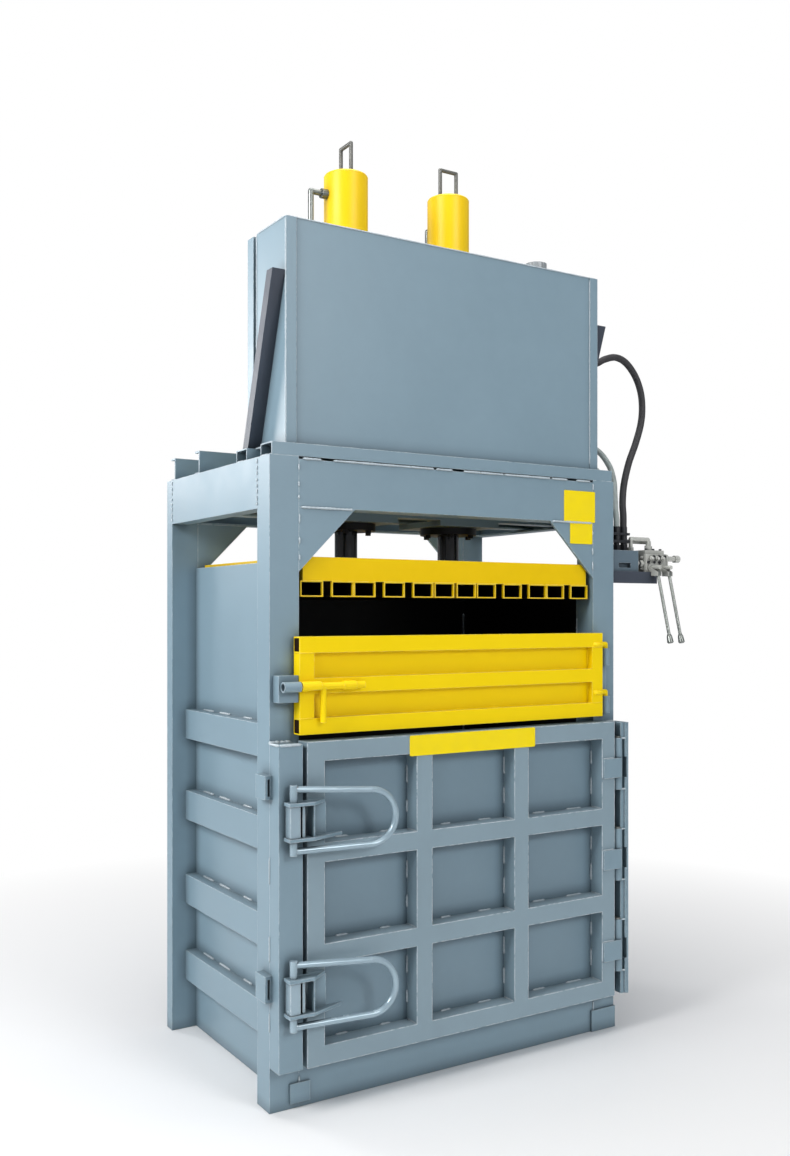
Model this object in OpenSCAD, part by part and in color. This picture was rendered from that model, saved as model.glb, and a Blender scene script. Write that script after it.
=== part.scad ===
// Vertical hydraulic recycling baler.
// Front is -Y, +Z is up. The origin is on the floor, at the middle of the base.

/* [Frame] */
// Width over the posts
frame_w = 1400; // [1240:10:1700]
// Depth from the front posts' face to the back of the rear posts
frame_d = 864; // [800:4:1000]
// Height of the posts
post_h = 2006; // [1960:2:2300]
// Width of a post
post_w = 100; // [80:1:120]
// Depth of a front post
post_d = 87; // [70:1:110]
// Wall of the post and beam sections
section_t = 6; // [4:0.5:8]
// Depth of a rear post
rear_post_d = 50; // [40:1:70]
// Height of the front and rear beams
beam_h = 148; // [120:1:180]
// Drop of the front beam's top below the post's top
beam_drop = 8; // [0:1:20]
// Height of the side beams
side_beam_h = 160; // [120:1:200]
// Depth of the side beams' flanges
side_beam_w = 60; // [40:1:80]
// Leg of the corner gussets
gusset_leg = 200; // [120:5:240]
// Thickness of the corner gussets
gusset_t = 10; // [6:1:14]

/* [Chamber] */
// Height of the base under the chamber's floor
base_h = 140; // [110:1:180]
// Thickness of the chamber's sheets
sheet_t = 6; // [4:0.5:8]
// Height of the side and back walls
wall_h = 1687; // [1620:1:1750]
// Height of a stiffening rib
rib_h = 106; // [70:1:120]
// Depth of a stiffening rib
rib_d = 42; // [25:1:48]

/* [Main door] */
// Height of the main door
door_h = 990; // [940:1:996]
// Depth of the door's ribs
door_rib_d = 60; // [40:1:80]
// Width of the door's ribs
door_rib_w = 60; // [40:1:80]
// Thickness of the door's sheet
door_sheet_t = 6; // [4:0.5:8]
// Outside diameter of the door's hinge barrels
barrel_od = 40; // [36:1:44]
// Diameter of the hinge pins
pin_d = 22; // [16:1:26]
// Height of a door strap and its barrel
strap_h = 70; // [50:1:90]
// Diameter of a latch handle's tube
latch_tube_d = 21; // [16:1:26]
// Reach of the latch handles
latch_reach = 340; // [260:5:380]

/* [Feed door] */
// Height of the feed door
feed_h = 300; // [240:1:330]
// Depth of the feed door's frame tubes
feed_tube_d = 40; // [30:1:50]
// Width of the feed door's frame tubes
feed_tube_w = 50; // [36:1:60]
// Diameter of the feed door's bolt
bolt_d = 22; // [16:1:26]
// Travel of the bolt into its receiver
bolt_travel = 45; // [30:1:50]

/* [Platen] */
// Width of a platen tube
ram_tube_w = 80; // [60:1:81]
// Height of a platen tube
ram_tube_h = 50; // [40:1:60]
// Wall of a platen tube
ram_tube_t = 4; // [3:0.5:6]
// Height of the platen's cross beams
ram_beam_h = 75; // [60:1:100]
// Drop of the raised platen's underside below the posts' top
ram_drop = 433; // [406:1:446]
// Working stroke
stroke = 950; // [600:10:1000]

/* [Cylinders] */
// Outside diameter of a cylinder
cyl_od = 156; // [140:1:170]
// Bore of a cylinder
cyl_bore = 126; // [110:1:130]
// Diameter of a piston rod
rod_d = 80; // [60:1:90]
// Distance between the two cylinders
cyl_pitch = 440; // [400:10:560]
// Height of the cylinders' tops
cyl_top = 3070; // [3050:5:3200]
// Distance of the cylinders behind the frame's front
cyl_y = 377; // [350:1:400]

/* [Oil tank] */
// Width of the oil tank
tank_w = 1271; // [1100:1:1300]
// Depth of the oil tank
tank_d = 209; // [180:1:230]
// Height of the oil tank
tank_h = 702; // [500:2:800]
// Distance of the oil tank behind the frame's front
tank_y = 20; // [5:1:30]

/* [Valve group] */
// Reach of the valve bracket past the right post
bracket_reach = 232; // [200:1:260]
// Length of a valve lever below its pivot
lever_len = 268; // [180:1:300]
// Diameter of a valve lever
lever_d = 12; // [8:0.5:14]
// Diameter of a valve spool
spool_d = 16; // [12:0.5:18]

/* [Motor and pump] */
// Diameter of the motor's casing
motor_d = 250; // [200:1:280]
// Length of the motor's casing
motor_len = 330; // [260:1:360]
// Diameter of the motor's shaft
shaft_d = 38; // [28:1:48]

/* [Hoses] */
// Outside diameter of the return hose
return_hose_d = 26; // [20:1:30]
// Outside diameter of the pressure hoses
pressure_hose_d = 22; // [16:1:26]

/* [Hidden] */
$fn = 48;

paint = [0.50, 0.59, 0.64];
yellow = [0.96, 0.83, 0.0];
slate = [0.25, 0.28, 0.33];
steel = [0.72, 0.73, 0.72];
dark = [0.10, 0.10, 0.11];
rubber = [0.18, 0.17, 0.17];

// Running clearance of a pin in its bore, on the radius
running = 0.05;
// Gap between parts that move past each other
play = 0.5;

// Inner faces of the chamber and lines that several pieces share
front = -frame_d / 2;
back = frame_d / 2;
inner_x = frame_w / 2 - post_w;
rear_face = back - rear_post_d;
post_back = front + post_d;
floor_plate_t = 10;
wall_y1 = rear_face - sheet_t;
beam_top = post_h - beam_drop;
beam_z = beam_top - beam_h;
side_beam_z = post_h - side_beam_h;
runner_w = 100;
deck_tube_w = 80;
deck_tube_h = 40;
deck_tube_t = 4;
deck_z = post_h + deck_tube_h;
deck_beam_h = 80;
deck_beam_w = 40;
deck_inset = 8;
deck_tube2_y = front + 182;
deck_beam3_y = front + 575;
deck_beam4_y = rear_face - 10;
deck_beam_z = post_h + deck_beam_h;
pad_proud = 8;

// Centre heights of the ribs on the side and back walls
rib_heights = [233, 512, 820, 1116];

// Box between two corners
module block(a, b) {
    translate(a) cube([b[0] - a[0], b[1] - a[1], b[2] - a[2]]);
}

// Profile in X and Z carried along Y from y0
module along_y(y0, len) {
    translate([0, y0 + len, 0]) rotate([90, 0, 0]) linear_extrude(len) children();
}

// Profile in Y and Z carried along X from x0
module along_x(x0, len) {
    translate([x0, 0, 0]) rotate([90, 0, 90]) linear_extrude(len) children();
}

// The piece and its mirror image on the right
module both_sides() {
    children();
    mirror([1, 0, 0]) children();
}

// Hollow rectangle, from a corner
module tube_profile(w, h, t) {
    difference() {
        square([w, h]);
        translate([t, t]) square([w - 2 * t, h - 2 * t]);
    }
}

// Channel with its web on the first axis' low side, open on the high side
module channel_profile(w, h, t) {
    difference() {
        square([w, h]);
        translate([t, t]) square([w, h - 2 * t]);
    }
}

// Round bar between two points
module bar(a, b, d) {
    v = b - a;
    len = norm(v);
    translate(a) rotate([0, acos(v[2] / len), atan2(v[1], v[0])]) cylinder(d = d, h = len);
}

// Round bar along a list of points, with ball corners
module bent_bar(pts, d) {
    for (i = [0:len(pts) - 2]) bar(pts[i], pts[i + 1], d);
    for (i = [1:len(pts) - 2]) translate(pts[i]) sphere(d = d);
}

// Welded base of a front sill, three runners, a rear tie and the front skid ends
module base_frame() {
    color(paint) union() {
        difference() {
            block([-inner_x, front, 0], [inner_x, front + post_d, base_h - floor_plate_t]);
            block([-inner_x - 1, front + section_t, section_t],
                  [inner_x + 1, front + post_d - section_t, base_h - floor_plate_t - section_t]);
        }
        for (x = [-inner_x, -runner_w / 2, inner_x - runner_w])
            translate([x, 0, 0]) along_y(post_back, wall_y1 - post_back)
                tube_profile(runner_w, base_h - floor_plate_t, section_t);
        block([-inner_x, front, base_h - floor_plate_t], [inner_x, post_back, base_h]);
        skid_end(-frame_w / 2 + 67, -frame_w / 2 + 135, 17, 78);
        skid_end(frame_w / 2 - 113, frame_w / 2, 0, 77);
    }
}

// End plate of a skid, proud of the sill
module skid_end(x0, x1, z0, z1) {
    block([x0, front - pad_proud, z0], [x1, front, z1]);
}

module floor_plate() {
    color(dark) block([-inner_x, post_back, base_h - floor_plate_t], [inner_x, wall_y1, base_h]);
}

// Front post: a box section with a cap plate
module front_post() {
    x0 = -frame_w / 2;
    color(paint) union() {
        difference() {
            block([x0, front, 0], [x0 + post_w, post_back, post_h - section_t]);
            block([x0 + section_t, front + section_t, -1],
                  [x0 + post_w - section_t, post_back - section_t, post_h]);
        }
        block([x0, front, post_h - section_t], [x0 + post_w, post_back, post_h]);
    }
}

module front_post_left() { front_post(); }
module front_post_right() { mirror([1, 0, 0]) front_post(); }

// Rear post: a channel with its web to the front and its flanges to the back
module rear_post() {
    color(paint) translate([-frame_w / 2, rear_face, 0]) difference() {
        cube([post_w, rear_post_d, post_h]);
        translate([section_t, section_t, -1])
            cube([post_w - 2 * section_t, rear_post_d, post_h + 2]);
    }
}

module rear_post_left() { rear_post(); }
module rear_post_right() { mirror([1, 0, 0]) rear_post(); }

module side_panel() {
    color(paint) block([-inner_x - sheet_t, post_back, 0], [-inner_x, rear_face, wall_h]);
}

module side_panel_left() { side_panel(); }
module side_panel_right() { mirror([1, 0, 0]) side_panel(); }

module back_panel() {
    color(paint) block([-inner_x, wall_y1, 0], [inner_x, rear_face, wall_h]);
}

// Channel ribs along both side walls and across the back, webs outwards
module wall_ribs() {
    color(paint) for (z = rib_heights) {
        both_sides() translate([-inner_x - sheet_t - rib_d, 0, z - rib_h / 2])
            along_y(post_back, rear_face - post_back) channel_profile(rib_d, rib_h, sheet_t);
        translate([0, rear_face + rib_d, z - rib_h / 2]) mirror([0, 1, 0])
            along_x(-inner_x, 2 * inner_x) channel_profile(rib_d, rib_h, sheet_t);
    }
}

module front_beam() {
    color(paint) translate([0, front, beam_z])
        along_x(-inner_x, 2 * inner_x) channel_profile(post_d, beam_h, section_t);
}

module side_beams() {
    color(paint) both_sides() translate([-frame_w / 2, 0, side_beam_z])
        along_y(post_back, rear_face - post_back)
            channel_profile(side_beam_w, side_beam_h, section_t);
}

module rear_beam() {
    color(paint) translate([0, back, beam_z]) mirror([0, 1, 0])
        along_x(-inner_x, 2 * inner_x) channel_profile(rear_post_d, beam_h, section_t);
}

// Triangular plates in the corners under the front and rear beams
module corner_gussets() {
    color(paint) both_sides() for (y = [front, rear_face])
        along_y(y, gusset_t) polygon([[-inner_x, beam_z - gusset_leg], [-inner_x, beam_z],
                                      [-inner_x + gusset_leg, beam_z]]);
}

// Two box tubes in front and two channels behind, across the top of the frame
module cross_members() {
    len = frame_w - 2 * deck_inset;
    color(paint) {
        for (y = [front, deck_tube2_y]) translate([0, y, post_h])
            along_x(-len / 2, len) tube_profile(deck_tube_w, deck_tube_h, deck_tube_t);
        translate([0, deck_beam3_y, post_h])
            along_x(-len / 2, len) channel_profile(deck_beam_w, deck_beam_h, section_t);
        translate([0, deck_beam4_y, post_h])
            along_x(-len / 2, len) channel_profile(deck_beam_w, deck_beam_h, section_t);
    }
}

// Crosshead that carries the cylinders, hung between the side beams
head_beam_w = 60;
head_beam_h = 140;
head_plate_t = 20;
head_plate_x = 260;
head_gap = 2;
head_z = post_h - head_beam_h - 10;
cyl_axis_y = front + cyl_y;
cyl_x = cyl_pitch / 2;
gland_h = 25;
gland_d = 210;
cap_h = 20;
cyl_bottom = head_z - head_plate_t;
piston_h = 60;
ram_z = post_h - ram_drop;
ram_top = ram_z + ram_tube_h + ram_beam_h;
foot_h = 16;
foot_d = 150;

module cylinder_crosshead() {
    y0 = cyl_axis_y - cyl_od / 2 - head_gap - head_beam_w;
    y1 = cyl_axis_y + cyl_od / 2 + head_gap + head_beam_w;
    x_in = frame_w / 2 - section_t;
    color(paint) union() {
        difference() {
            union() {
                translate([0, y0, head_z])
                    along_x(-x_in, 2 * x_in) channel_profile(head_beam_w, head_beam_h, section_t);
                translate([0, y1, head_z]) mirror([0, 1, 0])
                    along_x(-x_in, 2 * x_in) channel_profile(head_beam_w, head_beam_h, section_t);
            }
            both_sides() block([frame_w / 2 - side_beam_w, y0 - 1, head_z + head_beam_h / 2],
                               [frame_w / 2, y1 + 1, post_h]);
        }
        difference() {
            for (s = [-1, 1]) block([s * cyl_x - head_plate_x / 2, y0, head_z - head_plate_t],
                                    [s * cyl_x + head_plate_x / 2, y1, head_z]);
            for (s = [-1, 1]) translate([s * cyl_x, cyl_axis_y, head_z - head_plate_t - 1])
                cylinder(d = cyl_od, h = head_plate_t + 2);
        }
    }
}

// Cylinder barrel with its bolted gland below and its welded cap above
module cylinder_body() {
    color(yellow) translate([0, cyl_axis_y, 0]) union() {
        difference() {
            union() {
                translate([0, 0, cyl_bottom]) cylinder(d = cyl_od, h = cyl_top - 8 - cyl_bottom);
                translate([0, 0, cyl_top - 8]) rotate_extrude()
                    polygon([[0, 0], [cyl_od / 2, 0], [cyl_od / 2 - 3, 5], [cyl_od / 2 - 9, 8], [0, 8]]);
                translate([0, 0, cyl_bottom - gland_h]) cylinder(d = gland_d, h = gland_h);
            }
            translate([0, 0, cyl_bottom + gland_h])
                cylinder(d = cyl_bore, h = cyl_top - cap_h - cyl_bottom - gland_h);
            translate([0, 0, cyl_bottom - gland_h - 1])
                cylinder(d = rod_d + 2 * running, h = 2 * gland_h + 2);
        }
        gland_bolts();
    }
}

// Bolt heads round the gland
module gland_bolts() {
    for (a = [0:60:300]) rotate([0, 0, a]) translate([gland_d / 2 - 14, 0, cyl_bottom - gland_h - 12])
        cylinder(d = 22, h = 12, $fn = 6);
}

module cylinder_left() { translate([-cyl_x, 0, 0]) cylinder_body(); }
module cylinder_right() { translate([cyl_x, 0, 0]) cylinder_body(); }

lift_d = 14;
lift_w = 72;
lift_h = 112;

// Bent-bar lifting handles, the left one turned along the depth
module lifting_handles() {
    color(steel) {
        translate([-cyl_x, cyl_axis_y, cyl_top]) rotate([0, 0, 90]) lifting_handle();
        translate([cyl_x, cyl_axis_y, cyl_top]) lifting_handle();
    }
}

module lifting_handle() {
    bent_bar([[-lift_w / 2, 0, 0], [-lift_w / 2, 0, lift_h - lift_d / 2],
              [lift_w / 2, 0, lift_h - lift_d / 2], [lift_w / 2, 0, 0]], lift_d);
}

pipe_d = 20;
port_drop = 80;
pipe_out = 62;
pipe_low_z = post_h + 140;

// Rigid oil pipes from the cylinders' top ports down to a shared run behind
module cylinder_pipes() {
    z1 = cyl_top - port_drop;
    x1 = -cyl_x - cyl_od / 2;
    yb = cyl_axis_y + cyl_od / 2 + pipe_out;
    color(steel) union() {
        bent_bar([[x1, cyl_axis_y, z1], [x1 - pipe_out, cyl_axis_y, z1],
                  [x1 - pipe_out, cyl_axis_y, pipe_low_z], [x1 - pipe_out, yb, pipe_low_z],
                  [cyl_x, yb, pipe_low_z], [cyl_x, yb, z1], [cyl_x, cyl_axis_y + cyl_od / 2, z1]],
                 pipe_d);
        bar([x1, cyl_axis_y, z1], [x1 - 22, cyl_axis_y, z1], 34);
        bar([cyl_x, cyl_axis_y + cyl_od / 2, z1], [cyl_x, cyl_axis_y + cyl_od / 2 + 22, z1], 34);
        bar([cyl_x, yb, pipe_low_z], [cyl_x + 170, yb, pipe_low_z], pipe_d);
        bar([cyl_x + 150, yb, pipe_low_z], [cyl_x + 180, yb, pipe_low_z], 34);
    }
}

tank_z = deck_z;
tank_x = tank_w / 2;
tank_front = front + tank_y;
tank_back = tank_front + tank_d;
tank_wall = 5;
corner_w = 35;
corner_t = 5;

// Closed steel tank, hollow, with angle strips over its front corners
module oil_tank() {
    color(paint) union() {
        difference() {
            block([-tank_x, tank_front, tank_z], [tank_x, tank_back, tank_z + tank_h]);
            block([-tank_x + tank_wall, tank_front + tank_wall, tank_z + tank_wall],
                  [tank_x - tank_wall, tank_back - tank_wall, tank_z + tank_h - tank_wall]);
        }
        both_sides() block([-tank_x, tank_front - corner_t, tank_z],
                           [-tank_x + corner_w, tank_front, tank_z + tank_h]);
    }
}

upright_d = 44;
upright_gap = 25;
foot_plate_t = 8;

// Channel uprights behind the tank, on foot plates, tied to its back
module tank_uprights() {
    y0 = tank_back + upright_gap;
    color(paint) both_sides() union() {
        translate([-tank_x, y0, tank_z + foot_plate_t]) difference() {
            cube([upright_d, upright_d, tank_h - foot_plate_t]);
            translate([section_t, section_t, -1]) cube([upright_d, upright_d - 2 * section_t, tank_h]);
        }
        block([-tank_x, tank_back, tank_z], [-tank_x + 60, y0 + upright_d, tank_z + foot_plate_t]);
        for (z = [tank_z + 120, tank_z + tank_h - 60])
            block([-tank_x + 14, tank_back, z], [-tank_x + 30, y0, z + 30]);
    }
}

brace_w = 45;
brace_leg = 40;
brace_rise = 535;
brace_run = 180;

// Slanted angle braces beside the tank, from the second deck tube to its front edge
module tank_braces() {
    color(slate) both_sides() translate([-tank_x - brace_w, 0, tank_z])
        along_x(0, brace_w) translate([tank_front, 0])
            polygon([[brace_run, 0], [brace_run + brace_leg, 0], [brace_leg, brace_rise],
                     [0, brace_rise]]);
}

cap_x = 432;
cap_y = tank_front + 100;

// Breather cap on its neck, with a knurled rim
module filler_cap() {
    color(dark) translate([cap_x, cap_y, tank_z + tank_h]) {
        difference() {
            union() {
                cylinder(d = 56, h = 22);
                translate([0, 0, 22]) cylinder(d = 78, h = 26);
            }
            for (a = [0:30:330]) rotate([0, 0, a]) translate([40, 0, 24]) cylinder(d = 6, h = 30);
        }
    }
}

adapter_y = tank_front + 108;
adapter_z = tank_z + 418;
adapter_len = 48;

// Hose adapter on the tank's right side
module tank_adapter() {
    color(steel) translate([tank_x, adapter_y, adapter_z]) rotate([0, 90, 0]) {
        cylinder(d = 44, h = 22, $fn = 6);
        translate([0, 0, 22]) cylinder(d = return_hose_d + 6, h = adapter_len - 22);
    }
}

motor_x = -60;
motor_y = deck_beam3_y + 135;
motor_plate_t = 12;
motor_axis_z = deck_beam_z + motor_plate_t + motor_d / 2 + 14;
bell_len = 110;
bell_d = 200;
pump_len = 120;
pump_s = 110;
shaft_run = 70;

// Plate across the two rear deck beams, with the motor's two feet
module motor_base() {
    color(slate) union() {
        block([motor_x - motor_len - 20, deck_beam3_y, deck_beam_z],
              [motor_x + bell_len + 60, deck_beam4_y + deck_beam_w, deck_beam_z + motor_plate_t]);
        for (x = [motor_x - motor_len + 50, motor_x - 90])
            difference() {
                block([x, motor_y - 95, deck_beam_z + motor_plate_t],
                      [x + 40, motor_y + 95, motor_axis_z - 70]);
                translate([x - 1, motor_y, motor_axis_z]) rotate([0, 90, 0])
                    cylinder(d = motor_d, h = 42);
            }
    }
}

// Finned motor casing with its fan cowl and terminal box
module motor() {
    color(slate) translate([motor_x - motor_len, motor_y, motor_axis_z]) union() {
        difference() {
            union() {
                rotate([0, 90, 0]) cylinder(d = motor_d - 20, h = motor_len);
                rotate([0, 90, 0]) cylinder(d = motor_d, h = 70);
                for (a = [30:30:330]) rotate([a, 0, 0])
                    translate([60, -2, motor_d / 2 - 16]) cube([motor_len - 75, 4, 13]);
                translate([motor_len - 24, 0, 0]) rotate([0, 90, 0]) cylinder(d = motor_d, h = 24);
            }
            translate([motor_len - shaft_run, 0, 0]) rotate([0, 90, 0])
                cylinder(d = shaft_d + 2 * running, h = shaft_run + 1);
        }
        block([120, -60, motor_d / 2 - 14], [220, 60, motor_d / 2 + 56]);
    }
}

// Open bell between the motor and the pump, with two side windows
module pump_housing() {
    color(paint) translate([motor_x, motor_y, motor_axis_z]) rotate([0, 90, 0]) difference() {
        union() {
            cylinder(d = bell_d, h = bell_len);
            cylinder(d = bell_d + 30, h = 12);
        }
        translate([0, 0, -1]) cylinder(d = bell_d - 50, h = bell_len - 14);
        translate([0, 0, -1]) cylinder(d = 60, h = bell_len + 2);
        translate([-bell_d, -35, 30]) cube([2 * bell_d, 70, bell_len - 55]);
    }
}

// Gear pump with its inlet and outlet bosses
module pump() {
    color(steel) translate([motor_x + bell_len, motor_y, motor_axis_z]) difference() {
        union() {
            translate([0, -pump_s / 2, -pump_s / 2]) cube([pump_len, pump_s, pump_s]);
            translate([pump_len / 2, 0, 0]) rotate([90, 0, 0]) cylinder(d = 50, h = pump_s / 2 + 16);
            translate([pump_len / 2, 0, 0]) cylinder(d = 46, h = pump_s / 2 + 16);
        }
        translate([-1, 0, 0]) rotate([0, 90, 0]) cylinder(d = shaft_d / 2 + 2 * running, h = 51);
    }
}

// Motor shaft, coupling and pump shaft, one turning line
module drive_shaft() {
    color(steel) translate([motor_x, motor_y, motor_axis_z]) rotate([0, 90, 0]) union() {
        translate([0, 0, play - shaft_run]) cylinder(d = shaft_d, h = shaft_run + 30);
        translate([0, 0, 20]) cylinder(d = 90, h = 34);
        for (a = [0:90:270]) rotate([0, 0, a]) translate([30, 0, 50]) cylinder(d = 14, h = 14);
        translate([0, 0, 60]) cylinder(d = 58, h = 24);
        translate([0, 0, 80]) cylinder(d = shaft_d / 2, h = bell_len - 80 + 49);
    }
}

side_x = frame_w / 2;
bracket_z = 1634;
bracket_h = 44;
valve_z = bracket_z + bracket_h;
manifold_len = 145;
manifold_h = 79;
manifold_y = front + 20;
manifold_d = 70;
valve_x = side_x + 178;
valve_len = 122;
valve_h = 84;
valve_y = front + 20;
valve_d = 80;
lever_x = [side_x + 209, side_x + 267];
lever_y = front - 18;
lever_z = valve_z - 8;
lever_arm = 25;
lever_lean = 14;
lever_pin_d = 8;
hub_w = 13;
tongue_w = 6;
tongue_d = 9;
ear_w = 4;
spool_z = lever_z + lever_arm;
fitting_x = [side_x + 33, side_x + 67, side_x + 101];
fitting_y = front + 55;
fitting_h = 90;
fitting_z = valve_z + manifold_h + fitting_h;

// Angle bar from the post out under the valve group
module valve_bracket() {
    color(slate) union() {
        block([side_x, front + 10, bracket_z], [side_x + bracket_reach, front + 18, valve_z]);
        block([side_x, front + 10, valve_z - 8], [side_x + bracket_reach, post_back, valve_z]);
    }
}

// Manifold with a slotted window in its front
module manifold_block() {
    color(paint) difference() {
        block([side_x, manifold_y, valve_z],
              [side_x + manifold_len, manifold_y + manifold_d, valve_z + manifold_h]);
        block([side_x + 45, manifold_y - 1, valve_z + 14],
              [side_x + 105, manifold_y + 16, valve_z + 32]);
    }
}

// Cast spool-valve body with lever ears, port bosses and its relief adjuster
module valve_body() {
    color(steel) difference() {
        union() {
            block([valve_x, valve_y, valve_z],
                  [valve_x + valve_len, valve_y + valve_d, valve_z + valve_h - 16]);
            block([valve_x + 12, valve_y + 10, valve_z + valve_h - 16],
                  [valve_x + valve_len - 12, valve_y + valve_d - 10, valve_z + valve_h]);
            for (x = lever_x) {
                translate([x, valve_y - 6, spool_z]) rotate([-90, 0, 0]) cylinder(d = 34, h = 6);
                for (s = [-1, 1]) translate([x + s * (hub_w / 2 + play + ear_w / 2) - ear_w / 2, 0, 0])
                    along_x(0, ear_w) polygon([[lever_y - 8, lever_z - 8], [front + 8, lever_z - 8],
                                               [front + 8, valve_z], [valve_y, valve_z],
                                               [valve_y, valve_z + 22], [lever_y - 8, lever_z + 8]]);
                translate([x - hub_w / 2 - play - ear_w, lever_y, lever_z]) rotate([0, 90, 0])
                    cylinder(d = lever_pin_d, h = hub_w + 2 * play + 2 * ear_w);
            }
            translate([valve_x + valve_len, valve_y + 30, valve_z + 54]) rotate([0, 90, 0]) {
                cylinder(d = 36, h = 20, $fn = 6);
                cylinder(d = 20, h = 62);
                translate([0, 0, 62]) cylinder(d = 28, h = 22);
            }
        }
        for (x = lever_x) translate([x, lever_y - 20, spool_z]) rotate([-90, 0, 0])
            cylinder(d = spool_d + 2 * running, h = valve_y + valve_d + 21 - lever_y);
    }
}

// Two bent pipes from the manifold over to the valve
module valve_pipes() {
    top = valve_z + manifold_h + 46;
    color(steel) for (i = [0, 1]) {
        y = valve_y + 28 + 27 * i;
        x0 = side_x + manifold_len - 13;
        x1 = lever_x[0] + 12 + 32 * i;
        z1 = valve_z + valve_h;
        bent_bar([[x0, y, valve_z + manifold_h], [x0, y, top - 8 * i], [x1, y, top - 8 * i],
                  [x1, y, z1]], 16);
        translate([x1, y, z1]) cylinder(d = 26, h = 18, $fn = 6);
        translate([x0, y, valve_z + manifold_h]) cylinder(d = 24, h = 14, $fn = 6);
    }
}

// Hose ends on the manifold, held by two clamp bars
module hose_fittings() {
    z0 = valve_z + manifold_h;
    color(dark) union() {
        for (x = fitting_x) translate([x, fitting_y, z0]) {
            cylinder(d = 30, h = 22, $fn = 6);
            cylinder(d = 22, h = 40);
            translate([0, 0, 40]) cylinder(d = 29, h = fitting_h - 40);
        }
        for (z = [z0 + 30, z0 + 58])
            block([fitting_x[0] - 18, fitting_y - 17, z], [fitting_x[2] + 18, fitting_y + 17, z + 9]);
    }
}

// Lever on its pivot, with a tongue up into the spool and a grip at the low end
module lever(x) {
    color(steel) translate([x, lever_y, lever_z]) difference() {
        union() {
            rotate([0, 90, 0]) translate([0, 0, -hub_w / 2]) cylinder(d = 19, h = hub_w);
            block([-tongue_w / 2, -3, 0], [tongue_w / 2, 3, lever_arm]);
            translate([-tongue_w / 2, 0, lever_arm]) rotate([0, 90, 0])
                cylinder(d = tongue_d, h = tongue_w);
            rotate([-lever_lean, 0, 0]) {
                translate([0, 0, -lever_len + 20]) cylinder(d = lever_d, h = lever_len - 20);
                translate([0, 0, -lever_len]) rotate_extrude()
                    polygon([[0, 0], [9, 0], [12, 4], [10, 26], [7, 34], [0, 34]]);
            }
        }
        rotate([0, 90, 0]) translate([0, 0, -hub_w]) cylinder(d = lever_pin_d + 2 * running, h = 2 * hub_w);
    }
}

module lever_left() { lever(lever_x[0]); }
module lever_right() { lever(lever_x[1]); }

// Spool with a pocket for the lever's tongue
module spool(x) {
    color(steel) translate([x, lever_y, spool_z]) difference() {
        translate([0, -11, 0]) rotate([-90, 0, 0])
            cylinder(d = spool_d, h = valve_y + valve_d - lever_y + 19);
        block([-tongue_w / 2 - 0.3, -tongue_d / 2 - 0.3, -spool_d],
              [tongue_w / 2 + 0.3, tongue_d / 2 + 0.3, spool_d]);
    }
}

module spool_left() { spool(lever_x[0]); }
module spool_right() { spool(lever_x[1]); }

// Centres of the platen's tubes to each side of its middle
ram_tube_x = [45, 130, 243, 355, 436, 547];
ram_front = front + 15;
ram_back = wall_y1 - 8;
ram_half = ram_tube_x[5] + ram_tube_w / 2;
ram_beam_d = 60;
ram_beam_inset = 8;
ram_beam_z = ram_z + ram_tube_h;

// Open-ended tubes side by side, running front to back
module platen_tubes() {
    color(yellow) both_sides() for (x = ram_tube_x)
        translate([x - ram_tube_w / 2, 0, ram_z]) along_y(ram_front, ram_back - ram_front)
            tube_profile(ram_tube_w, ram_tube_h, ram_tube_t);
}

// Cross channels over the tubes, and the two seats of the piston rods
module platen_beams() {
    x1 = ram_half - ram_beam_inset;
    color(yellow) union() {
        translate([0, ram_front, ram_beam_z])
            along_x(-x1, 2 * x1) channel_profile(ram_beam_d, ram_beam_h, section_t);
        translate([0, ram_back, ram_beam_z]) mirror([0, 1, 0])
            along_x(-x1, 2 * x1) channel_profile(ram_beam_d, ram_beam_h, section_t);
        for (s = [-1, 1]) {
            translate([0, cyl_axis_y + s * foot_d / 2, ram_beam_z])
                mirror([0, s > 0 ? 1 : 0, 0])
                    along_x(-x1, 2 * x1) channel_profile(foot_d / 2 - 8, ram_beam_h, section_t);
            block([s * cyl_x - foot_d / 2, ram_front + ram_beam_d, ram_beam_z],
                  [s * cyl_x - foot_d / 2 + section_t, cyl_axis_y - foot_d / 2, ram_top]);
            block([s * cyl_x - foot_d / 2, cyl_axis_y + foot_d / 2, ram_beam_z],
                  [s * cyl_x - foot_d / 2 + section_t, ram_back - ram_beam_d, ram_top]);
        }
        both_sides() block([x1 - section_t, ram_front + section_t, ram_beam_z],
                           [x1, ram_back - section_t, ram_top]);
    }
}

// Two piston rods with their feet below and pistons above
module piston_rods() {
    piston_top = cyl_top - cap_h - 20;
    color(dark) both_sides() translate([cyl_x, cyl_axis_y, 0]) union() {
        translate([0, 0, ram_top]) cylinder(d = foot_d, h = foot_h);
        translate([0, 0, ram_top]) cylinder(d = rod_d, h = piston_top - ram_top);
        translate([0, 0, piston_top - piston_h]) cylinder(d = cyl_bore - 2 * running, h = piston_h);
    }
}

// Main door: lines shared by its sheet, ribs, straps and latches
left = -frame_w / 2;
door_gap = 1;
door_x0 = left + 94.5;
door_x1 = frame_w / 2 - 56;
door_z = base_h;
door_back = front - door_gap;
door_rib_back = door_back - door_sheet_t;
door_front = door_rib_back - door_rib_d;
door_cells = 3;
door_rib_t = 5;
column_w = 80;
column_t = 8;
column_d = 65;
column_front = front - column_d;
column_h = door_h - 5;
hinge_x = frame_w / 2 - 30;
hinge_y = front - 50;
strap_z = [door_z + 165, door_z + door_h / 2 - 1, door_z + door_h - 167];
strap_t = 9;
strap_len = 85;
knuckle_up = 70;
knuckle_down = 45;
hinge_plate_d = 28;
flange_t = 8;

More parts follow.
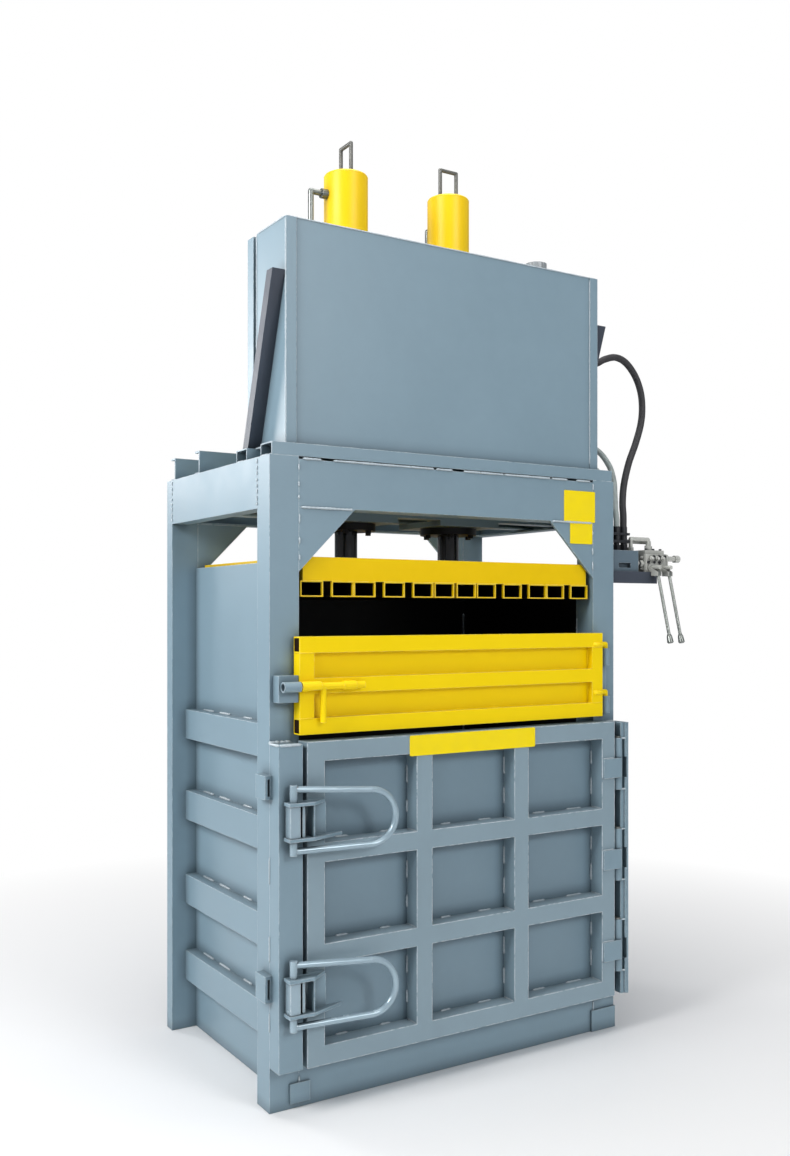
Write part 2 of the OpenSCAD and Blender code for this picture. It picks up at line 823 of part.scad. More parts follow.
module main_door_sheet() {
    color(paint) block([door_x0, door_rib_back, door_z], [door_x1, door_back, door_z + door_h]);
}

// Grid of door ribs, inset all round by a wall
module rib_grid(inset, y0, y1) {
    px = (door_x1 - door_x0 - door_rib_w) / door_cells;
    pz = (door_h - door_rib_w) / door_cells;
    for (i = [0:door_cells]) {
        block([door_x0 + i * px + inset, y0, door_z + inset],
              [door_x0 + i * px + door_rib_w - inset, y1, door_z + door_h - inset]);
        block([door_x0 + inset, y0, door_z + i * pz + inset],
              [door_x1 - inset, y1, door_z + i * pz + door_rib_w - inset]);
    }
}

// Welded grid of channels, open towards the sheet
module main_door_frame() {
    color(paint) difference() {
        rib_grid(0, door_front, door_rib_back);
        rib_grid(door_rib_t, door_front + door_rib_t, door_rib_back + 1);
    }
}

// Straps on the door's right stile, each with its hinge barrel
module main_door_straps() {
    color(paint) for (z = strap_z) translate([hinge_x, 0, z]) difference() {
        union() {
            translate([0, hinge_y, -strap_h / 2]) cylinder(d = barrel_od, h = strap_h);
            block([-strap_len, door_front - strap_t, -strap_h / 2], [0, door_front, strap_h / 2]);
        }
        translate([0, hinge_y, -strap_h]) cylinder(d = pin_d + 2 * running, h = 2 * strap_h);
    }
}

// Fixed barrels above and below each strap, on saddles to the hinge column
module hinge_knuckles() {
    color(paint) for (z = strap_z)
        for (k = [[z + strap_h / 2 + 1, knuckle_up], [z - strap_h / 2 - 1 - knuckle_down, knuckle_down]])
            difference() {
                union() {
                    translate([hinge_x, hinge_y, k[0]]) cylinder(d = barrel_od, h = k[1]);
                    block([hinge_x - barrel_od / 2 + 3, hinge_y, k[0]],
                          [frame_w / 2, front - hinge_plate_d, k[0] + k[1]]);
                }
                translate([hinge_x, hinge_y, k[0] - 1])
                    cylinder(d = pin_d + 2 * running, h = k[1] + 2);
            }
}

module hinge_pins() {
    color(steel) for (z = strap_z) translate([hinge_x, hinge_y, 0]) union() {
        translate([0, 0, z - strap_h / 2 - 1 - knuckle_down])
            cylinder(d = pin_d, h = knuckle_down + strap_h + 2 + knuckle_up);
        translate([0, 0, z + strap_h / 2 + 1 + knuckle_up]) cylinder(d = pin_d + 10, h = 6);
    }
}

// Angle on the right post behind and beside the barrels
module hinge_column() {
    x1 = frame_w / 2;
    color(paint) union() {
        block([x1 - 48, front - hinge_plate_d, door_z], [x1, front, door_z + column_h]);
        block([x1, front - 70, door_z], [x1 + flange_t, front, door_z + column_h]);
    }
}

latch_x = left + 35;
latch_y = front - 92;
latch_z = [door_z + 233, door_z + column_h - 227];
ear_gap = 96;
ear_t = 10;
latch_shaft_d = 24;
window_x0 = latch_x - 10;
window_h = 90;

// Hollow column on the left post, with windows for the latch teeth
module lock_column() {
    color(paint) difference() {
        block([left, column_front, door_z], [left + column_w, front, door_z + column_h]);
        block([left + column_t, column_front + column_t, door_z - 1],
              [left + column_w - column_t, front + 1, door_z + column_h - column_t]);
        for (z = latch_z) block([window_x0, column_front - 1, z - window_h / 2],
                                [left + column_w + 1, column_front + 28, z + window_h / 2]);
    }
}

// Ear plates welded to the door's left stile, reaching over the lock column
module latch_ears() {
    color(paint) for (z = latch_z) difference() {
        union() {
            translate([0, 0, z - ear_gap / 2 - ear_t]) linear_extrude(ear_t) ear_outline(left + 212);
            translate([0, 0, z + ear_gap / 2]) linear_extrude(ear_t) ear_outline(left + 152);
            block([left + 105, door_front - 6, z - ear_gap / 2],
                  [left + 155, door_front, z + ear_gap / 2]);
            block([left + 94.5, door_front - 42, z - ear_gap / 2],
                  [left + 99, door_front, z + ear_gap / 2]);
        }
        translate([latch_x, latch_y, z - ear_gap]) cylinder(d = latch_shaft_d + 2 * running, h = 2 * ear_gap);
    }
}

module ear_outline(tip_x) {
    polygon([[latch_x - 22, latch_y - 20], [latch_x + 60, latch_y - 23], [tip_x, door_front - 5],
             [tip_x, door_front], [door_x0, door_front], [door_x0, door_front - 4],
             [latch_x - 22, door_front - 4]]);
}

loop_up = 97;
loop_down = 88;
loop_r = 84;
loop_turn = -5.8;
cam_h = 94;
shaft_over = 13;

// Latch: shaft with its cam block and tooth, and the loop-shaped handle
module latch(z) {
    straight = latch_reach - loop_r;
    mid = loop_r - loop_down;
    color(paint) translate([latch_x, latch_y, z]) union() {
        translate([0, 0, -loop_down - shaft_over])
            cylinder(d = latch_shaft_d, h = loop_up + loop_down + 2 * shaft_over);
        translate([0, 0, -cam_h / 2]) linear_extrude(cam_h) {
            polygon([[-18, -17], [15, -17], [15, 17], [-18, 17]]);
            translate([14, -4]) square([12, 8]);
            translate([23, -14]) square([9, 28]);
        }
        translate([0, 0, -36]) linear_extrude(72)
            polygon([[-6.5, 16], [9, 16], [9, 44], [-9.5, 44], [-9.5, 36.5], [-6.5, 36.5]]);
        rotate([0, 0, loop_turn]) {
            bar([0, 0, loop_up], [straight, 0, mid + loop_r], latch_tube_d);
            bar([0, 0, -loop_down], [straight, 0, -loop_down], latch_tube_d);
            translate([straight, 0, mid + loop_r]) sphere(d = latch_tube_d + 1.5);
            translate([straight, 0, mid]) rotate([90, 0, 0]) rotate([0, 0, -90])
                rotate_extrude(angle = 180) translate([loop_r, 0]) circle(d = latch_tube_d);
        }
    }
}

module latch_lower() { latch(latch_z[0]); }
module latch_upper() { latch(latch_z[1]); }

lug_d = 68;
lug_w = 24;

// Lashing lugs on the left post's side
module side_lugs() {
    color(paint) for (z = [[345, 425], [958, 1030]]) difference() {
        block([left - lug_w, front - 20, z[0]], [left, front - 20 + lug_d, z[1]]);
        block([left - lug_w + 8, front - 30, z[0] + 10], [left - 8, front + lug_d, z[1] - 10]);
    }
}

feed_x0 = left + 80;
feed_x1 = frame_w / 2 - 94;
feed_z = base_h + door_h + 20;
feed_back = front - 5;
feed_front = feed_back - feed_tube_d;
feed_mid_h = 47;
feed_mid_z = feed_z + 125;
feed_recess = 26;
feed_wall = 4;
bolt_y = feed_front - 16;
bolt_z = feed_mid_z + feed_mid_h / 2;
guide_d = 31;
guide_len = 66;
guide_x = left + 76;
guide2_x = left + 221;
guide2_len = 44;
bolt_x0 = left + 74.5;
bolt_x1 = left + 297;
grip_x = left + 152.5;
grip_d = 20;
grip_len = 112;
feed_hinge_x = frame_w / 2 - 64;
feed_hinge_y = feed_back - feed_tube_d / 2;
feed_pin_d = 20;
feed_pin_z = [feed_z + 85, feed_z + 258];
feed_pin_drop = 70;
feed_sleeve_d = 34;

// Frame members of the feed door, inset by a wall
module feed_grid(inset, y0, y1) {
    for (z = [feed_z, feed_mid_z, feed_z + feed_h - feed_tube_w]) {
        h = z == feed_mid_z ? feed_mid_h : feed_tube_w;
        block([feed_x0 + inset, y0, z + inset], [feed_x1 - inset, y1, z + h - inset]);
    }
    for (x = [feed_x0, feed_x1 - feed_tube_w])
        block([x + inset, y0, feed_z + inset], [x + feed_tube_w - inset, y1, feed_z + feed_h - inset]);
}

// Feed door with its sheet, bolt guides and bent hinge pins
module feed_door() {
    color(yellow) difference() {
        union() {
            difference() {
                feed_grid(0, feed_front, feed_back);
                feed_grid(feed_wall, feed_front + feed_wall, feed_back + 1);
            }
            block([feed_x0 + feed_wall, feed_front + feed_recess, feed_z + feed_wall],
                  [feed_x1 - feed_wall, feed_front + feed_recess + feed_wall, feed_z + feed_h - feed_wall]);
            bolt_guide(guide_x, guide_len, guide_d, feed_x0);
            bolt_guide(guide2_x, guide2_len, guide_d - 3, guide2_x);
            for (z = feed_pin_z) {
                bar([feed_x1 - feed_wall, feed_hinge_y, z], [feed_hinge_x, feed_hinge_y, z], feed_pin_d);
                translate([feed_hinge_x, feed_hinge_y, z]) sphere(d = feed_pin_d);
                translate([feed_hinge_x, feed_hinge_y, z - feed_pin_drop])
                    cylinder(d = feed_pin_d, h = feed_pin_drop);
            }
        }
        translate([guide_x - 1, bolt_y, bolt_z]) rotate([0, 90, 0])
            cylinder(d = bolt_d + 2 * running, h = guide2_x + guide2_len - guide_x + 2);
        block([grip_x - grip_d / 2 - bolt_travel - play, bolt_y - grip_d / 2 - play, bolt_z - guide_d],
              [guide_x + guide_len + 1, bolt_y + grip_d / 2 + play, bolt_z]);
    }
}

// Sleeve for the bolt on a saddle to the door's frame
module bolt_guide(x, len, d, saddle_x) {
    translate([x, bolt_y, bolt_z]) rotate([0, 90, 0]) cylinder(d = d, h = len);
    block([saddle_x, bolt_y, bolt_z - 9], [x + len, feed_front, bolt_z + 9]);
}

module feed_bolt() {
    color(yellow) union() {
        translate([bolt_x0, bolt_y, bolt_z]) rotate([0, 90, 0]) cylinder(d = bolt_d, h = bolt_x1 - bolt_x0);
        translate([grip_x, bolt_y, bolt_z - grip_len]) cylinder(d = grip_d, h = grip_len);
    }
}

// Grey keeper of the bolt on the left post
module bolt_receiver() {
    x1 = feed_x0 - 2;
    color(paint) difference() {
        union() {
            block([left + 12, feed_front + 5, feed_mid_z - 25], [x1, front, feed_mid_z + 57]);
            translate([left + 15, bolt_y, bolt_z]) rotate([0, 90, 0])
                cylinder(d = guide_d + 1, h = bolt_x0 - 2.5 - left - 15);
            block([left + 20, bolt_y, bolt_z - 9], [bolt_x0 - 4, feed_front + 5, bolt_z + 9]);
        }
        translate([left + 14, bolt_y, bolt_z]) rotate([0, 90, 0]) cylinder(d = bolt_d + 2, h = column_w);
    }
}

// Sleeves for the feed door's hinge pins on a plate to the right post
module feed_hinge_bracket() {
    color(paint) difference() {
        union() {
            block([feed_hinge_x - 20, front - 8, feed_z + 5], [feed_hinge_x + 20, front, feed_z + 250]);
            for (z = feed_pin_z) {
                translate([feed_hinge_x, feed_hinge_y, z - feed_pin_drop - 5])
                    cylinder(d = feed_sleeve_d, h = feed_pin_drop - feed_pin_d / 2 + 1);
                block([feed_hinge_x - 13, feed_hinge_y, z - feed_pin_drop - 5],
                      [feed_hinge_x + 13, front - 8, z - feed_pin_d / 2 - 4]);
            }
        }
        for (z = feed_pin_z) translate([feed_hinge_x, feed_hinge_y, z - feed_pin_drop - 1])
            cylinder(d = feed_pin_d + 2 * running, h = feed_pin_drop);
    }
}

// Routes of the hoses, as round numbers chosen by hand
return_route = [
    [tank_x + adapter_len, adapter_y, adapter_z], [730, -304, 2470], [776, -304, 2492],
    [829, -305, 2505], [880, -307, 2490], [925, -310, 2445], [950, -315, 2385], [955, -319, 2320],
    [941, -325, 2253], [905, -334, 2175], [860, -344, 2095], [825, -355, 2010], [806, -368, 1940],
    [fitting_x[2], fitting_y, 1890], [fitting_x[2], fitting_y, fitting_z]
];
pressure_route = [
    [110, 207, motor_axis_z], [112, 165, 2237], [140, 130, 2235], [200, 115, 2232],
    [300, 95, 2228], [400, 55, 2225], [490, -5, 2222], [580, -70, 2218], [670, -135, 2208],
    [740, -195, 2188], [792, -245, 2150], [814, -285, 2090], [808, -318, 2025], [788, -345, 1965],
    [771, -367, 1910], [fitting_x[1], fitting_y, 1875], [fitting_x[1], fitting_y, fitting_z]
];
cylinder_route = [
    [cyl_x + 180, cyl_axis_y + cyl_od / 2 + pipe_out, pipe_low_z], [440, 82, 2146], [500, 60, 2146],
    [560, 15, 2145], [620, -45, 2142], [680, -115, 2134], [730, -185, 2118], [766, -245, 2085],
    [776, -292, 2035], [765, -330, 1975], [744, -361, 1915], [fitting_x[0], fitting_y, 1880],
    [fitting_x[0], fitting_y, fitting_z]
];

function unit(v) = v / norm(v);
function tangent(p, i) = unit(i == 0 ? p[1] - p[0] : i == len(p) - 1 ? p[i] - p[i - 1] : p[i + 1] - p[i - 1]);
function side_of(t) = unit(cross(t, abs(t[2]) > 0.9 ? [0, 1, 0] : [0, 0, 1]));

// Tube of eight sides swept along a route
module hose(route, d) {
    sides = 8;
    p = route;
    n = len(p);
    points = [for (i = [0:n - 1])
        let (t = i == n - 1 ? [0, 0, -1] : tangent(p, i), u = ring_u(p, i), v = cross(t, u))
        for (k = [0:sides - 1]) p[i] + d / 2 * (cos(360 * k / sides) * u + sin(360 * k / sides) * v)];
    faces = concat([[for (k = [0:sides - 1]) k]],
        [for (i = [0:n - 2]) for (k = [0:sides - 1]) let (m = (k + 1) % sides)
            each [[i * sides + k, (i + 1) * sides + k, (i + 1) * sides + m],
                  [i * sides + k, (i + 1) * sides + m, i * sides + m]]],
        [[for (k = [sides - 1:-1:0]) (n - 1) * sides + k]]);
    polyhedron(points, faces);
}

// Carries one side direction along the route without twist
function ring_u(p, i) = i == 0 ? side_of(tangent(p, 0)) :
    let (t = i == len(p) - 1 ? [0, 0, -1] : tangent(p, i), u = ring_u(p, i - 1)) unit(u - (u * t) * t);

module hose_return() { color(rubber) hose(return_route, return_hose_d); }
module hose_pressure() { color(slate) hose(pressure_route, pressure_hose_d); }
module hose_cylinder() { color(slate) hose(cylinder_route, pressure_hose_d); }

base_frame();
floor_plate();
front_post_left();
front_post_right();
rear_post_left();
rear_post_right();
side_panel_left();
side_panel_right();
wall_ribs();
back_panel();
front_beam();
side_beams();
rear_beam();
corner_gussets();
cross_members();
cylinder_crosshead();
lock_column();
hinge_column();
hinge_knuckles();
hinge_pins();
bolt_receiver();
feed_hinge_bracket();
side_lugs();
oil_tank();
tank_uprights();
tank_braces();
filler_cap();
tank_adapter();
cylinder_left();
cylinder_right();
lifting_handles();
cylinder_pipes();
motor_base();
motor();
pump_housing();
pump();
drive_shaft();
valve_bracket();
manifold_block();
valve_body();
valve_pipes();
hose_fittings();
platen_tubes();
platen_beams();
piston_rods();
main_door_sheet();
main_door_frame();
main_door_straps();
latch_ears();
latch_upper();
latch_lower();
feed_door();
feed_bolt();
lever_left();
lever_right();
spool_left();
spool_right();
hose_return();
hose_pressure();
hose_cylinder();
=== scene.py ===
"""Looks of a vertical hydraulic recycling baler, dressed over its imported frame."""

import logging
from dataclasses import dataclass, field
from enum import Enum
from math import pi, radians
from typing import Iterable, Sequence

import bpy
import numpy as np
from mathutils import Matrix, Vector


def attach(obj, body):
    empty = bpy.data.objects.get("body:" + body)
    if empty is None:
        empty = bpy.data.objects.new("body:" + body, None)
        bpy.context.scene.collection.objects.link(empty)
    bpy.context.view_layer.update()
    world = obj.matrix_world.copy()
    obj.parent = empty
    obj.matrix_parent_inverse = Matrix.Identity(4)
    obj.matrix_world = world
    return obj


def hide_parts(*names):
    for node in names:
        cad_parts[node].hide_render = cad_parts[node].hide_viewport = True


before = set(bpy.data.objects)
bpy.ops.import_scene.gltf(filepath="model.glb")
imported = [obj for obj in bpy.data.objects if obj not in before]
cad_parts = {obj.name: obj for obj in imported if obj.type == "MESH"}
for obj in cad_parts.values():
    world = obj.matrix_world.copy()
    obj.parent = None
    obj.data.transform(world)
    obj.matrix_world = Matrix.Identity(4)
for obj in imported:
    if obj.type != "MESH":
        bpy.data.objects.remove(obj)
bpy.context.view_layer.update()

logging.basicConfig(level=logging.INFO, format="%(message)s")
log = logging.getLogger("baler")

MM = 0.001
DUST_GREY = (0.52, 0.5, 0.46, 1)
# Reach and strength of the painted shade in nooks.
NOOK_REACH = 45 * MM
NOOK_POWER = 1.6
GRAIN_DEPTH = 0.4 * MM

Point = tuple[float, float, float]
Box = tuple[Point, Point]
Colour = tuple[float, float, float, float]

# A shape is its points, its quads and the faces that close it. A span is one coordinate of a
# line: a number, or the two numbers that the line runs between.
Shape = tuple[np.ndarray, np.ndarray, np.ndarray]
Span = float | tuple[float, float]


def srgb(red: int, green: int, blue: int) -> Colour:
    """Turn a display colour into a linear one.

    Args:
        red, green, blue: channels from 0 to 255.

    Returns:
        The linear colour with an alpha of 1, by the two-part sRGB curve.
    """
    c = np.array([red, green, blue]) / 255.0
    low = c / 12.92
    high = ((c + 0.055) / 1.055) ** 2.4
    lin = np.where(c <= 0.04045, low, high)
    return (float(lin[0]), float(lin[1]), float(lin[2]), 1.0)


def toned(colour: Colour, scale: float, lift: float) -> Colour:
    """Scale and lift the three channels of a colour, held below 1."""
    return tuple(min(1.0, c * scale + lift) for c in colour[:3]) + (1.0,)


class Slot(Enum):
    """Material slots of the record, named by each hose."""

    GREY = "grey_paint"
    YELLOW = "yellow_paint"
    STEEL = "bare_steel"
    DARK = "dark_steel"
    RUBBER = "black_rubber"
    GREY_RUBBER = "grey_rubber"


class Body(Enum):
    """Moving bodies of the frame."""

    FRAME = "frame"
    PLATEN = "platen"
    MAIN_DOOR = "main_door"
    FEED_DOOR = "feed_door"


class Graph:
    """A node tree that is filled by short calls."""

    def __init__(self, tree: bpy.types.NodeTree) -> None:
        """Keep the tree that the nodes go into."""
        self.tree = tree

    def add(self, kind: str, **values: object) -> bpy.types.Node:
        """Add a node.

        Args:
            kind: the node's type name.
            values: attributes, or input values under the socket's name with spaces as underscores.

        Returns:
            The new node.
        """
        made = self.tree.nodes.new(kind)
        for key, value in values.items():
            if hasattr(made, key):
                setattr(made, key, value)
            else:
                made.inputs[key.replace("_", " ")].default_value = value
        return made

    def link(self, source: bpy.types.NodeSocket, target: bpy.types.NodeSocket) -> None:
        """Join an output to an input."""
        self.tree.links.new(source, target)

    def math(self, operation: str, a: object, b: object = None, clamp: bool = False) -> bpy.types.NodeSocket:
        """Add a Math node on sockets or numbers.

        Args:
            operation: the Math operation.
            a, b: sockets or numbers.
            clamp: whether the result is held between 0 and 1.

        Returns:
            The result's socket.
        """
        made = self.tree.nodes.new("ShaderNodeMath")
        made.operation = operation
        made.use_clamp = clamp
        for i, value in enumerate((a, b)):
            if value is None:
                continue
            if isinstance(value, bpy.types.NodeSocket):
                self.link(value, made.inputs[i])
            else:
                made.inputs[i].default_value = value
        return made.outputs[0]

    def mix(self, factor: object, a: object, b: object) -> bpy.types.NodeSocket:
        """Mix two colours.

        Args:
            factor: 0 for the first colour and 1 for the second, as a socket or number.
            a, b: the colours, as sockets or values.

        Returns:
            The result's socket.
        """
        made = self.tree.nodes.new("ShaderNodeMix")
        made.data_type = "RGBA"
        for index, value in ((0, factor), (6, a), (7, b)):
            if isinstance(value, bpy.types.NodeSocket):
                self.link(value, made.inputs[index])
            else:
                made.inputs[index].default_value = value
        return made.outputs[2]


def new_group(name: str, inputs: Sequence[tuple[str, str, object]],
              outputs: Sequence[tuple[str, str]]) -> tuple[bpy.types.NodeTree, Graph]:
    """Make an empty shader group with its sockets.

    Args:
        name: the group's name.
        inputs: name, socket kind and default of each input.
        outputs: name and socket kind of each output.

    Returns:
        The group and a Graph on it.
    """
    tree = bpy.data.node_groups.new(name, "ShaderNodeTree")
    for label, kind, value in inputs:
        made = tree.interface.new_socket(name=label, in_out="INPUT", socket_type=kind)
        made.default_value = value
    for label, kind in outputs:
        tree.interface.new_socket(name=label, in_out="OUTPUT", socket_type=kind)
    return tree, Graph(tree)


def build_surface_group() -> bpy.types.NodeTree:
    """Make the shared effect of painted and plated steel.

    The colour is mottled by a large and a middling noise, lightened on edges that a small bevel
    finds, partly as chipped wear and partly as a painted highlight, greyed by dust on faces that look
    up, and darkened by painted shade in nooks, which an occlusion value a finds, by
    c (1 - n (1 - a^p)) with p as NOOK_POWER. The normal is the bevel's, with a fine
    orange-peel bump and a slow waviness of the sheet.

    Returns:
        The node group.
    """
    tree, g = new_group("surface_wear_and_painted_light", [
        ("Base", "NodeSocketColor", (0.5, 0.5, 0.5, 1)),
        ("Edge", "NodeSocketColor", (0.8, 0.8, 0.8, 1)),
        ("Edge Amount", "NodeSocketFloat", 0.5),
        ("Bevel Radius", "NodeSocketFloat", 0.002),
        ("Mottle", "NodeSocketFloat", 0.1),
        ("Dust", "NodeSocketFloat", 0.1),
        ("Peel", "NodeSocketFloat", 0.1),
        ("Roughness", "NodeSocketFloat", 0.4),
        ("Nook", "NodeSocketFloat", 0.6),
    ], [("Color", "NodeSocketColor"), ("Roughness", "NodeSocketFloat"), ("Normal", "NodeSocketVector")])
    gin = tree.nodes.new("NodeGroupInput")
    gout = tree.nodes.new("NodeGroupOutput")
    place = g.add("ShaderNodeTexCoord").outputs["Object"]
    large = g.add("ShaderNodeTexNoise", Scale=2.3, Detail=3.0)
    middle = g.add("ShaderNodeTexNoise", Scale=17.0, Detail=5.0, Roughness=0.6)
    fine = g.add("ShaderNodeTexNoise", Scale=420.0, Detail=2.0)
    wave = g.add("ShaderNodeTexNoise", Scale=4.5, Detail=1.0)
    chips = g.add("ShaderNodeTexNoise", Scale=55.0, Detail=4.0)
    for noise in (large, middle, fine, wave, chips):
        g.link(place, noise.inputs["Vector"])
    # The tone: two noises mottle the base colour.
    spread = g.math("ADD", g.math("MULTIPLY", large.outputs[0], 0.6),
                    g.math("MULTIPLY", middle.outputs[0], 0.4))
    shade = g.math("MULTIPLY", g.math("SUBTRACT", spread, 0.5), gin.outputs["Mottle"])
    tone = g.math("ADD", g.math("MULTIPLY", shade, 2.0), 1.0)
    tinted = g.add("ShaderNodeVectorMath", operation="SCALE")
    g.link(gin.outputs["Base"], tinted.inputs[0])
    g.link(tone, tinted.inputs["Scale"])
    # Edges: where the bevel's normal leaves the face's, chipped by a noise and faded in nooks; this
    # lightening is partly wear and partly a painted highlight.
    bevel = tree.nodes.new("ShaderNodeBevel")
    bevel.samples = 4
    g.link(gin.outputs["Bevel Radius"], bevel.inputs["Radius"])
    geometry = tree.nodes.new("ShaderNodeNewGeometry")
    dot = g.add("ShaderNodeVectorMath", operation="DOT_PRODUCT")
    g.link(bevel.outputs[0], dot.inputs[0])
    g.link(geometry.outputs["Normal"], dot.inputs[1])
    nook = g.add("ShaderNodeAmbientOcclusion", Distance=NOOK_REACH)
    nook.samples = 6
    shut = g.math("POWER", nook.outputs["AO"], NOOK_POWER)
    edge = g.math("MULTIPLY", g.math("SUBTRACT", 1.0, dot.outputs["Value"]), 8.0, clamp=True)
    broken = g.math("MULTIPLY", g.math("SUBTRACT", chips.outputs[0], 0.33), 5.0, clamp=True)
    bright = g.math("MULTIPLY", g.math("MULTIPLY", edge, broken), shut)
    edge_wear_and_highlight = g.math("MULTIPLY", bright, gin.outputs["Edge Amount"], clamp=True)
    edged = g.mix(edge_wear_and_highlight, tinted.outputs[0], gin.outputs["Edge"])
    # Dust on what looks up, then shade in the nooks.
    part = g.add("ShaderNodeSeparateXYZ")
    g.link(geometry.outputs["Normal"], part.inputs[0])
    up = g.math("MAXIMUM", part.outputs["Z"], 0.0)
    dusty = g.math("MULTIPLY", g.math("MULTIPLY", up, middle.outputs[0]), gin.outputs["Dust"], clamp=True)
    dusted = g.mix(dusty, edged, DUST_GREY)
    # Painted shade: the colour is scaled down in nooks, where the occlusion finds them.
    depth = g.math("SUBTRACT", 1.0, g.math("MULTIPLY", g.math("SUBTRACT", 1.0, shut), gin.outputs["Nook"]))
    shaded = g.add("ShaderNodeVectorMath", operation="SCALE")
    g.link(dusted, shaded.inputs[0])
    g.link(depth, shaded.inputs["Scale"])
    g.link(shaded.outputs[0], gout.inputs["Color"])
    # Roughness follows the tone and the dust, and two bumps lie on the bevel's normal.
    rough = g.math("ADD", gin.outputs["Roughness"], g.math("MULTIPLY", g.math("SUBTRACT", spread, 0.5), 0.35))
    g.link(g.math("ADD", rough, g.math("MULTIPLY", dusty, 0.3), clamp=True), gout.inputs["Roughness"])
    slow = g.add("ShaderNodeBump", Strength=0.12, Distance=0.02)
    g.link(wave.outputs[0], slow.inputs["Height"])
    g.link(bevel.outputs[0], slow.inputs["Normal"])
    peel = g.add("ShaderNodeBump", Distance=GRAIN_DEPTH)
    g.link(gin.outputs["Peel"], peel.inputs["Strength"])
    g.link(fine.outputs[0], peel.inputs["Height"])
    g.link(slow.outputs[0], peel.inputs["Normal"])
    g.link(peel.outputs[0], gout.inputs["Normal"])
    return tree


def principled(name: str) -> tuple[bpy.types.Material, Graph, bpy.types.Node]:
    """Make a material with an empty Principled shader.

    Args:
        name: the material's name.

    Returns:
        The material, a Graph on its tree, and the shader.
    """
    material = bpy.data.materials.new(name)
    material.use_nodes = True
    g = Graph(material.node_tree)
    return material, g, material.node_tree.nodes["Principled BSDF"]


@dataclass(frozen=True)
class Steel:
    """Painted or plated steel."""

    name: str
    base: Colour
    edge: Colour
    # Edge lightening: partly chipped wear, partly a painted highlight.
    edge_amount: float = 0.35
    bevel: float = 2.0 * MM
    mottle: float = 0.10
    dust: float = 0.12
    peel: float = 0.10
    roughness: float = 0.40
    metallic: float = 0.0
    coat: float = 0.0
    specular: float = 0.5
    # Strength of the painted shade in nooks.
    nook: float = 0.6
    # Box in Object coordinates where the colour turns to a near black painted shade, and that colour.
    shade_box: Box | None = None
    dark: Colour = (0.006, 0.006, 0.007, 1.0)

    def make(self, group: bpy.types.NodeTree) -> bpy.types.Material:
        """Build the material round the shared surface group.

        Args:
            group: the shared surface effect.

        Returns:
            The material. Inside the shade box, in Object coordinates, it turns near black as painted shade.
        """
        material, g, shader = principled(self.name)
        # The shared group gives mottle, dust, wear, painted highlights on edges and painted shade in nooks.
        wear_and_light = g.add("ShaderNodeGroup", node_tree=group)
        for label, value in (("Base", self.base), ("Edge", self.edge), ("Edge Amount", self.edge_amount),
                             ("Bevel Radius", self.bevel), ("Mottle", self.mottle), ("Dust", self.dust),
                             ("Peel", self.peel), ("Roughness", self.roughness), ("Nook", self.nook)):
            wear_and_light.inputs[label].default_value = value
        colour = wear_and_light.outputs["Color"]
        # Painted shade: inside the box the colour turns near black.
        if self.shade_box is not None:
            colour = g.mix(self.inside(g), colour, self.dark)
        g.link(colour, shader.inputs["Base Color"])
        g.link(wear_and_light.outputs["Roughness"], shader.inputs["Roughness"])
        g.link(wear_and_light.outputs["Normal"], shader.inputs["Normal"])
        shader.inputs["Metallic"].default_value = self.metallic
        shader.inputs["Coat Weight"].default_value = self.coat
        shader.inputs["Specular IOR Level"].default_value = self.specular
        return material

    def inside(self, g: Graph) -> bpy.types.NodeSocket:
        """Mask shade_box, by the product of three tests: on each axis |p - middle| < half the side.

        Args:
            g: the material's graph.

        Returns:
            The socket of the mask, 1 inside the box and 0 outside it.
        """
        low, high = (np.array(c) for c in self.shade_box)
        place = g.add("ShaderNodeSeparateXYZ")
        g.link(g.add("ShaderNodeTexCoord").outputs["Object"], place.inputs[0])
        mask: object = 1.0
        for i, (middle, half) in enumerate(zip((low + high) / 2, (high - low) / 2)):
            away = g.math("ABSOLUTE", g.math("SUBTRACT", place.outputs[i], float(middle)))
            mask = g.math("MULTIPLY", mask, g.math("LESS_THAN", away, float(half)))
        return mask


@dataclass(frozen=True)
class Rubber:
    """Cover of a hose, finely wrapped."""

    name: str
    base: Colour
    roughness: float = 0.55

    def make(self) -> bpy.types.Material:
        """Build the material: a noise tints the cover and a fine one roughens it.

        Returns:
            The material.
        """
        material, g, shader = principled(self.name)
        place = g.add("ShaderNodeTexCoord").outputs["Object"]
        tint = g.add("ShaderNodeTexNoise", Scale=30.0, Detail=3.0)
        grain = g.add("ShaderNodeTexNoise", Scale=900.0, Detail=1.0)
        g.link(place, tint.inputs["Vector"])
        g.link(place, grain.inputs["Vector"])
        g.link(g.mix(tint.outputs[0], self.base, toned(self.base, 1.9, 0.01)), shader.inputs["Base Color"])
        bump = g.add("ShaderNodeBump", Strength=0.25, Distance=GRAIN_DEPTH)
        g.link(grain.outputs[0], bump.inputs["Height"])
        g.link(bump.outputs[0], shader.inputs["Normal"])
        g.link(g.math("ADD", g.math("MULTIPLY", tint.outputs[0], 0.2), self.roughness),
               shader.inputs["Roughness"])
        return material


@dataclass(frozen=True)
class SignPlate:
    """Bare bright sign sheet with a faint gloss."""

    name: str
    base: Colour
    gloss: float = 0.25

    def make(self) -> bpy.types.Material:
        """Build the material: a slow noise fades the yellow, and roughness follows it.

        Returns:
            The material.
        """
        material, g, shader = principled(self.name)
        place = g.add("ShaderNodeTexCoord").outputs["Object"]
        fade = g.add("ShaderNodeTexNoise", Scale=26.0, Detail=3.0)
        g.link(place, fade.inputs["Vector"])
        faded = g.mix(g.math("MULTIPLY", fade.outputs[0], 0.6), self.base, toned(self.base, 0.88, 0.02))
        g.link(faded, shader.inputs["Base Color"])
        g.link(g.math("ADD", g.math("MULTIPLY", fade.outputs[0], 0.25), 0.25), shader.inputs["Roughness"])
        shader.inputs["Specular IOR Level"].default_value = self.gloss
        return material


